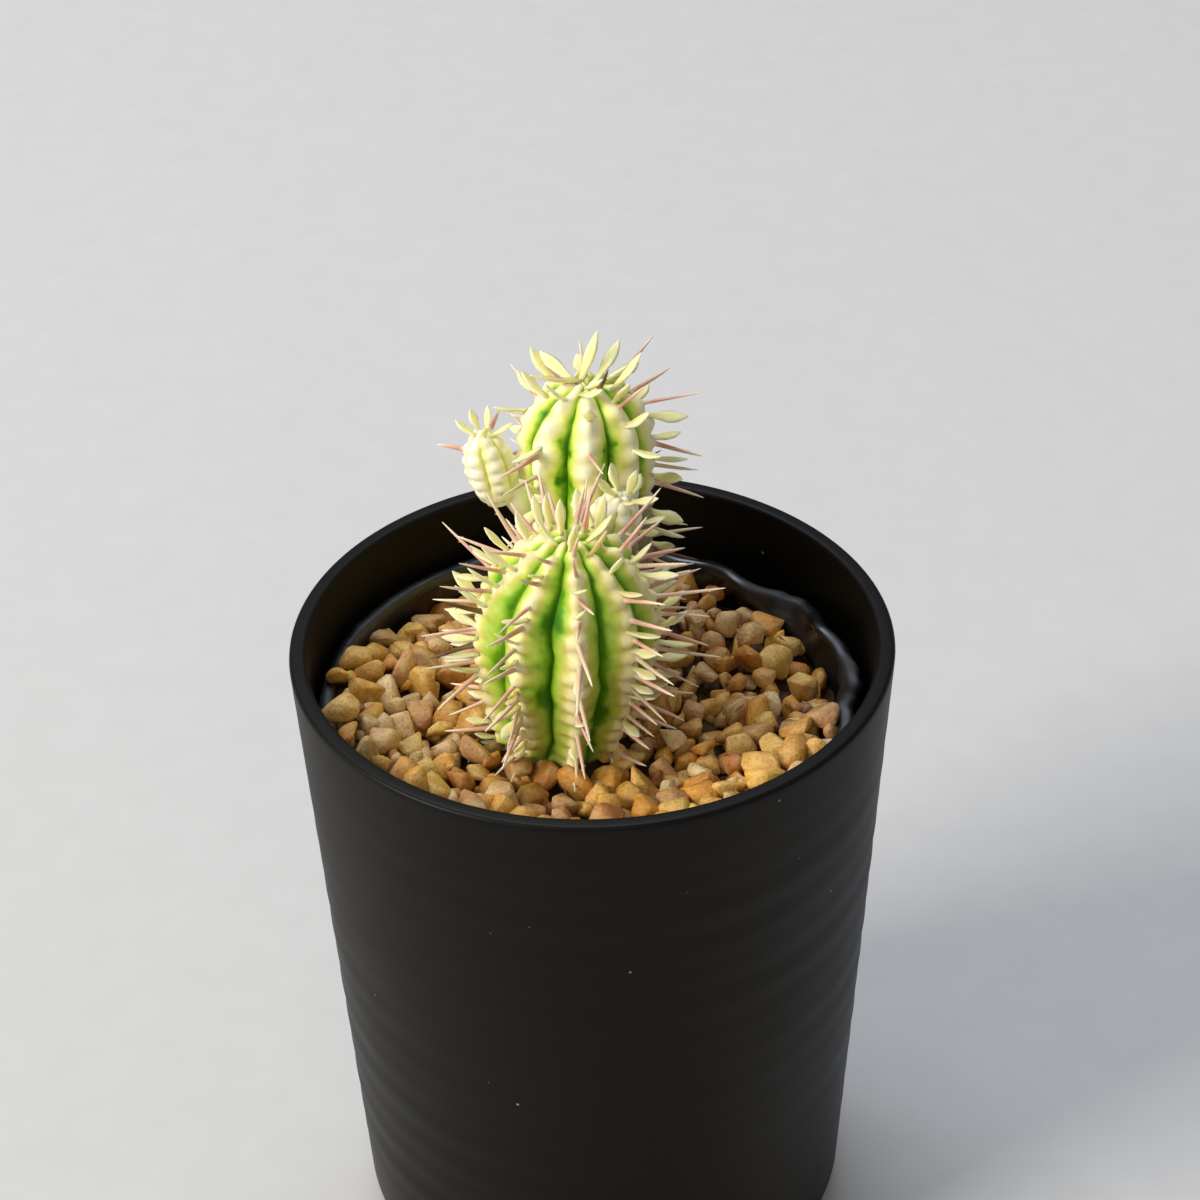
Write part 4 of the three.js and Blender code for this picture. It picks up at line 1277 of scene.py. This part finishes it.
any_size = add(tree, "MapRange", Value=chance["size"], To_Min=given["Smallest"], To_Max=given["Largest"])
fitting = add(tree, "Math MULTIPLY_ADD", nearest.outputs["Distance"], 1 / (2.0 * mm), 0.4)
size = add(tree, "Math MINIMUM", any_size, fitting)
choices = add(tree, "CollectionInfo", Collection=given["Stones"], Separate_Children=True, Reset_Children=True)
placed = add(
    tree, "InstanceOnPoints", Points=settled, Selection=free, Instance=choices, Pick_Instance=True,
    Instance_Index=add(tree, "Math FLOOR", add(tree, "Math MULTIPLY", chance["shape"], 8.99)), Rotation=turned_stone,
    Scale=size,
)
solid = add(tree, "RealizeInstances", Geometry=placed)
add(tree, "NodeGroupOutput", add(tree, "SetMaterial", Geometry=solid, Material=given["Finish"]))
stone_tree = tree
print("scattered_stones has", len(tree.nodes), "nodes")

# %% Grit: material
# Crushed stone: broken faces with small pits give a dull, uneven gloss, and quartz lets a little light in.
grit_material, tree, shader, place = new_material(
    "crushed_quartz_grit", IOR=1.54, Subsurface_Weight=0.06, Subsurface_Scale=1.5 * mm,
)
tone = add(tree, "Attribute", attribute_name="tone").outputs["Fac"]
kinds = add(
    tree, "ValToRGB", tone,
    stops=[
        (0.0, "#CF9630"), (0.1, "#EACE82"), (0.2, "#B87216"), (0.32, "#DEBE66"), (0.44, "#D28E24"), (0.54, "#D6C698"),
        (0.64, "#985810"), (0.74, "#EFDFAE"), (0.84, "#A45018"), (0.92, "#CA8C2C"), (1.0, "#E2B04A"),
    ],
)
stain = add(tree, "TexNoise", Vector=place, Scale=1 / (2.4 * mm), Detail=4.0, Roughness=0.6)
stained = add(tree, "ValToRGB", stain, stops=[(0.34, "#9C5808"), (0.48, "#D0902C"), (0.64, "#EECF84")])
coloured = add(tree, "Mix", 0.36, kinds, stained, data_type="RGBA")
speckle = add(tree, "TexNoise", Vector=place, Scale=1 / (0.45 * mm), Detail=3.0)
pits = add(tree, "MapRange", speckle, 0.36, 0.5, 0.35, 0.0)
plug(
    tree, shader, Base_Color=add(tree, "Mix", pits, coloured, linear("#7E4A1E"), data_type="RGBA"),
    Roughness=add(tree, "MapRange", stain, 0.3, 0.7, 0.5, 0.75),
    Normal=add(tree, "Bump", Strength=0.6, Distance=0.25 * mm, Height=add(tree, "Math ADD", speckle, stain)),
)
print(grit_material.name, "has", len(tree.nodes), "nodes")

# %% [markdown]
# The bed is a closed slab under the stones. It only shows as shade between them, so it gets a darker finish of the
# same grit, painted dark as shade, and its top is a little bumpy.

# %% Grit bed
def grit_bed():
    """A closed slab that follows the grit's level, from just above the mix."""
    def bumpy(x, y):
        return grit_level(x, y) - 1.2 + 0.8 * noise.noise(Vector((x / 2.2, y / 2.2, 3)))

    mesh, rings = disc(bumpy, 0.3, rings=30, spokes=120)
    edge = rings[-1]
    below = [mesh.verts.new((v.co.x * 0.955, v.co.y * 0.955, 88 * mm)) for v in edge]
    shoulder = []
    for v in edge:
        share = min(1, 37.6 * mm / v.co.to_2d().length)
        shoulder.append(mesh.verts.new((v.co.x * share, v.co.y * share, min(v.co.z, 93.5 * mm))))
    band(mesh, edge, shoulder)
    band(mesh, shoulder, below)
    mesh.faces.new(reversed(below))
    bmesh.ops.recalc_face_normals(mesh, faces=mesh.faces)
    return to_object("grit_bed", mesh)


# Packed fines, matt and painted dark: the dark colour is painted shade, so that a gap between two stones reads as
# shade.
bed_shade_material, tree, shader, place = new_material("grit_fines_painted_as_shade", Roughness=0.9)
fines = add(tree, "TexNoise", Vector=place, Scale=1 / (1.1 * mm), Detail=5.0)
plug(
    tree, shader,
    Base_Color=add(tree, "ValToRGB", fines, stops=[(0.3, "#241407"), (0.6, "#4A2D12"), (0.8, "#7A5424")]),
    Normal=add(tree, "Bump", Strength=0.7, Distance=0.5 * mm, Height=fines),
)
finish(grit_bed(), bed_shade_material)

# %% Scatter the stones
TOP_STONES = {
    "Level": top_level, "Spacing": 4.3 * mm, "Smallest": 0.84, "Largest": 1.6, "Unevenness": 2.0 * mm, "Tumble": 1.4,
    "Seed": 4, "Stones": stone_shapes, "Keep clear": bare, "Finish": grit_material,
}
UNDER_STONES = {
    **TOP_STONES, "Level": under_level, "Spacing": 3.1 * mm, "Smallest": 0.72, "Largest": 1.2,
    "Unevenness": 1.2 * mm, "Tumble": 6.0, "Seed": 9,
}
layers = [run_tree("top_stones", stone_tree, TOP_STONES), run_tree("under_stones", stone_tree, UNDER_STONES)]
finish(join("grit_stones", layers), node="gravel")
for helper in (top_level, under_level, bare, leaf_shape, *spine_shapes.objects, *stone_shapes.objects):
    bpy.data.objects.remove(helper)
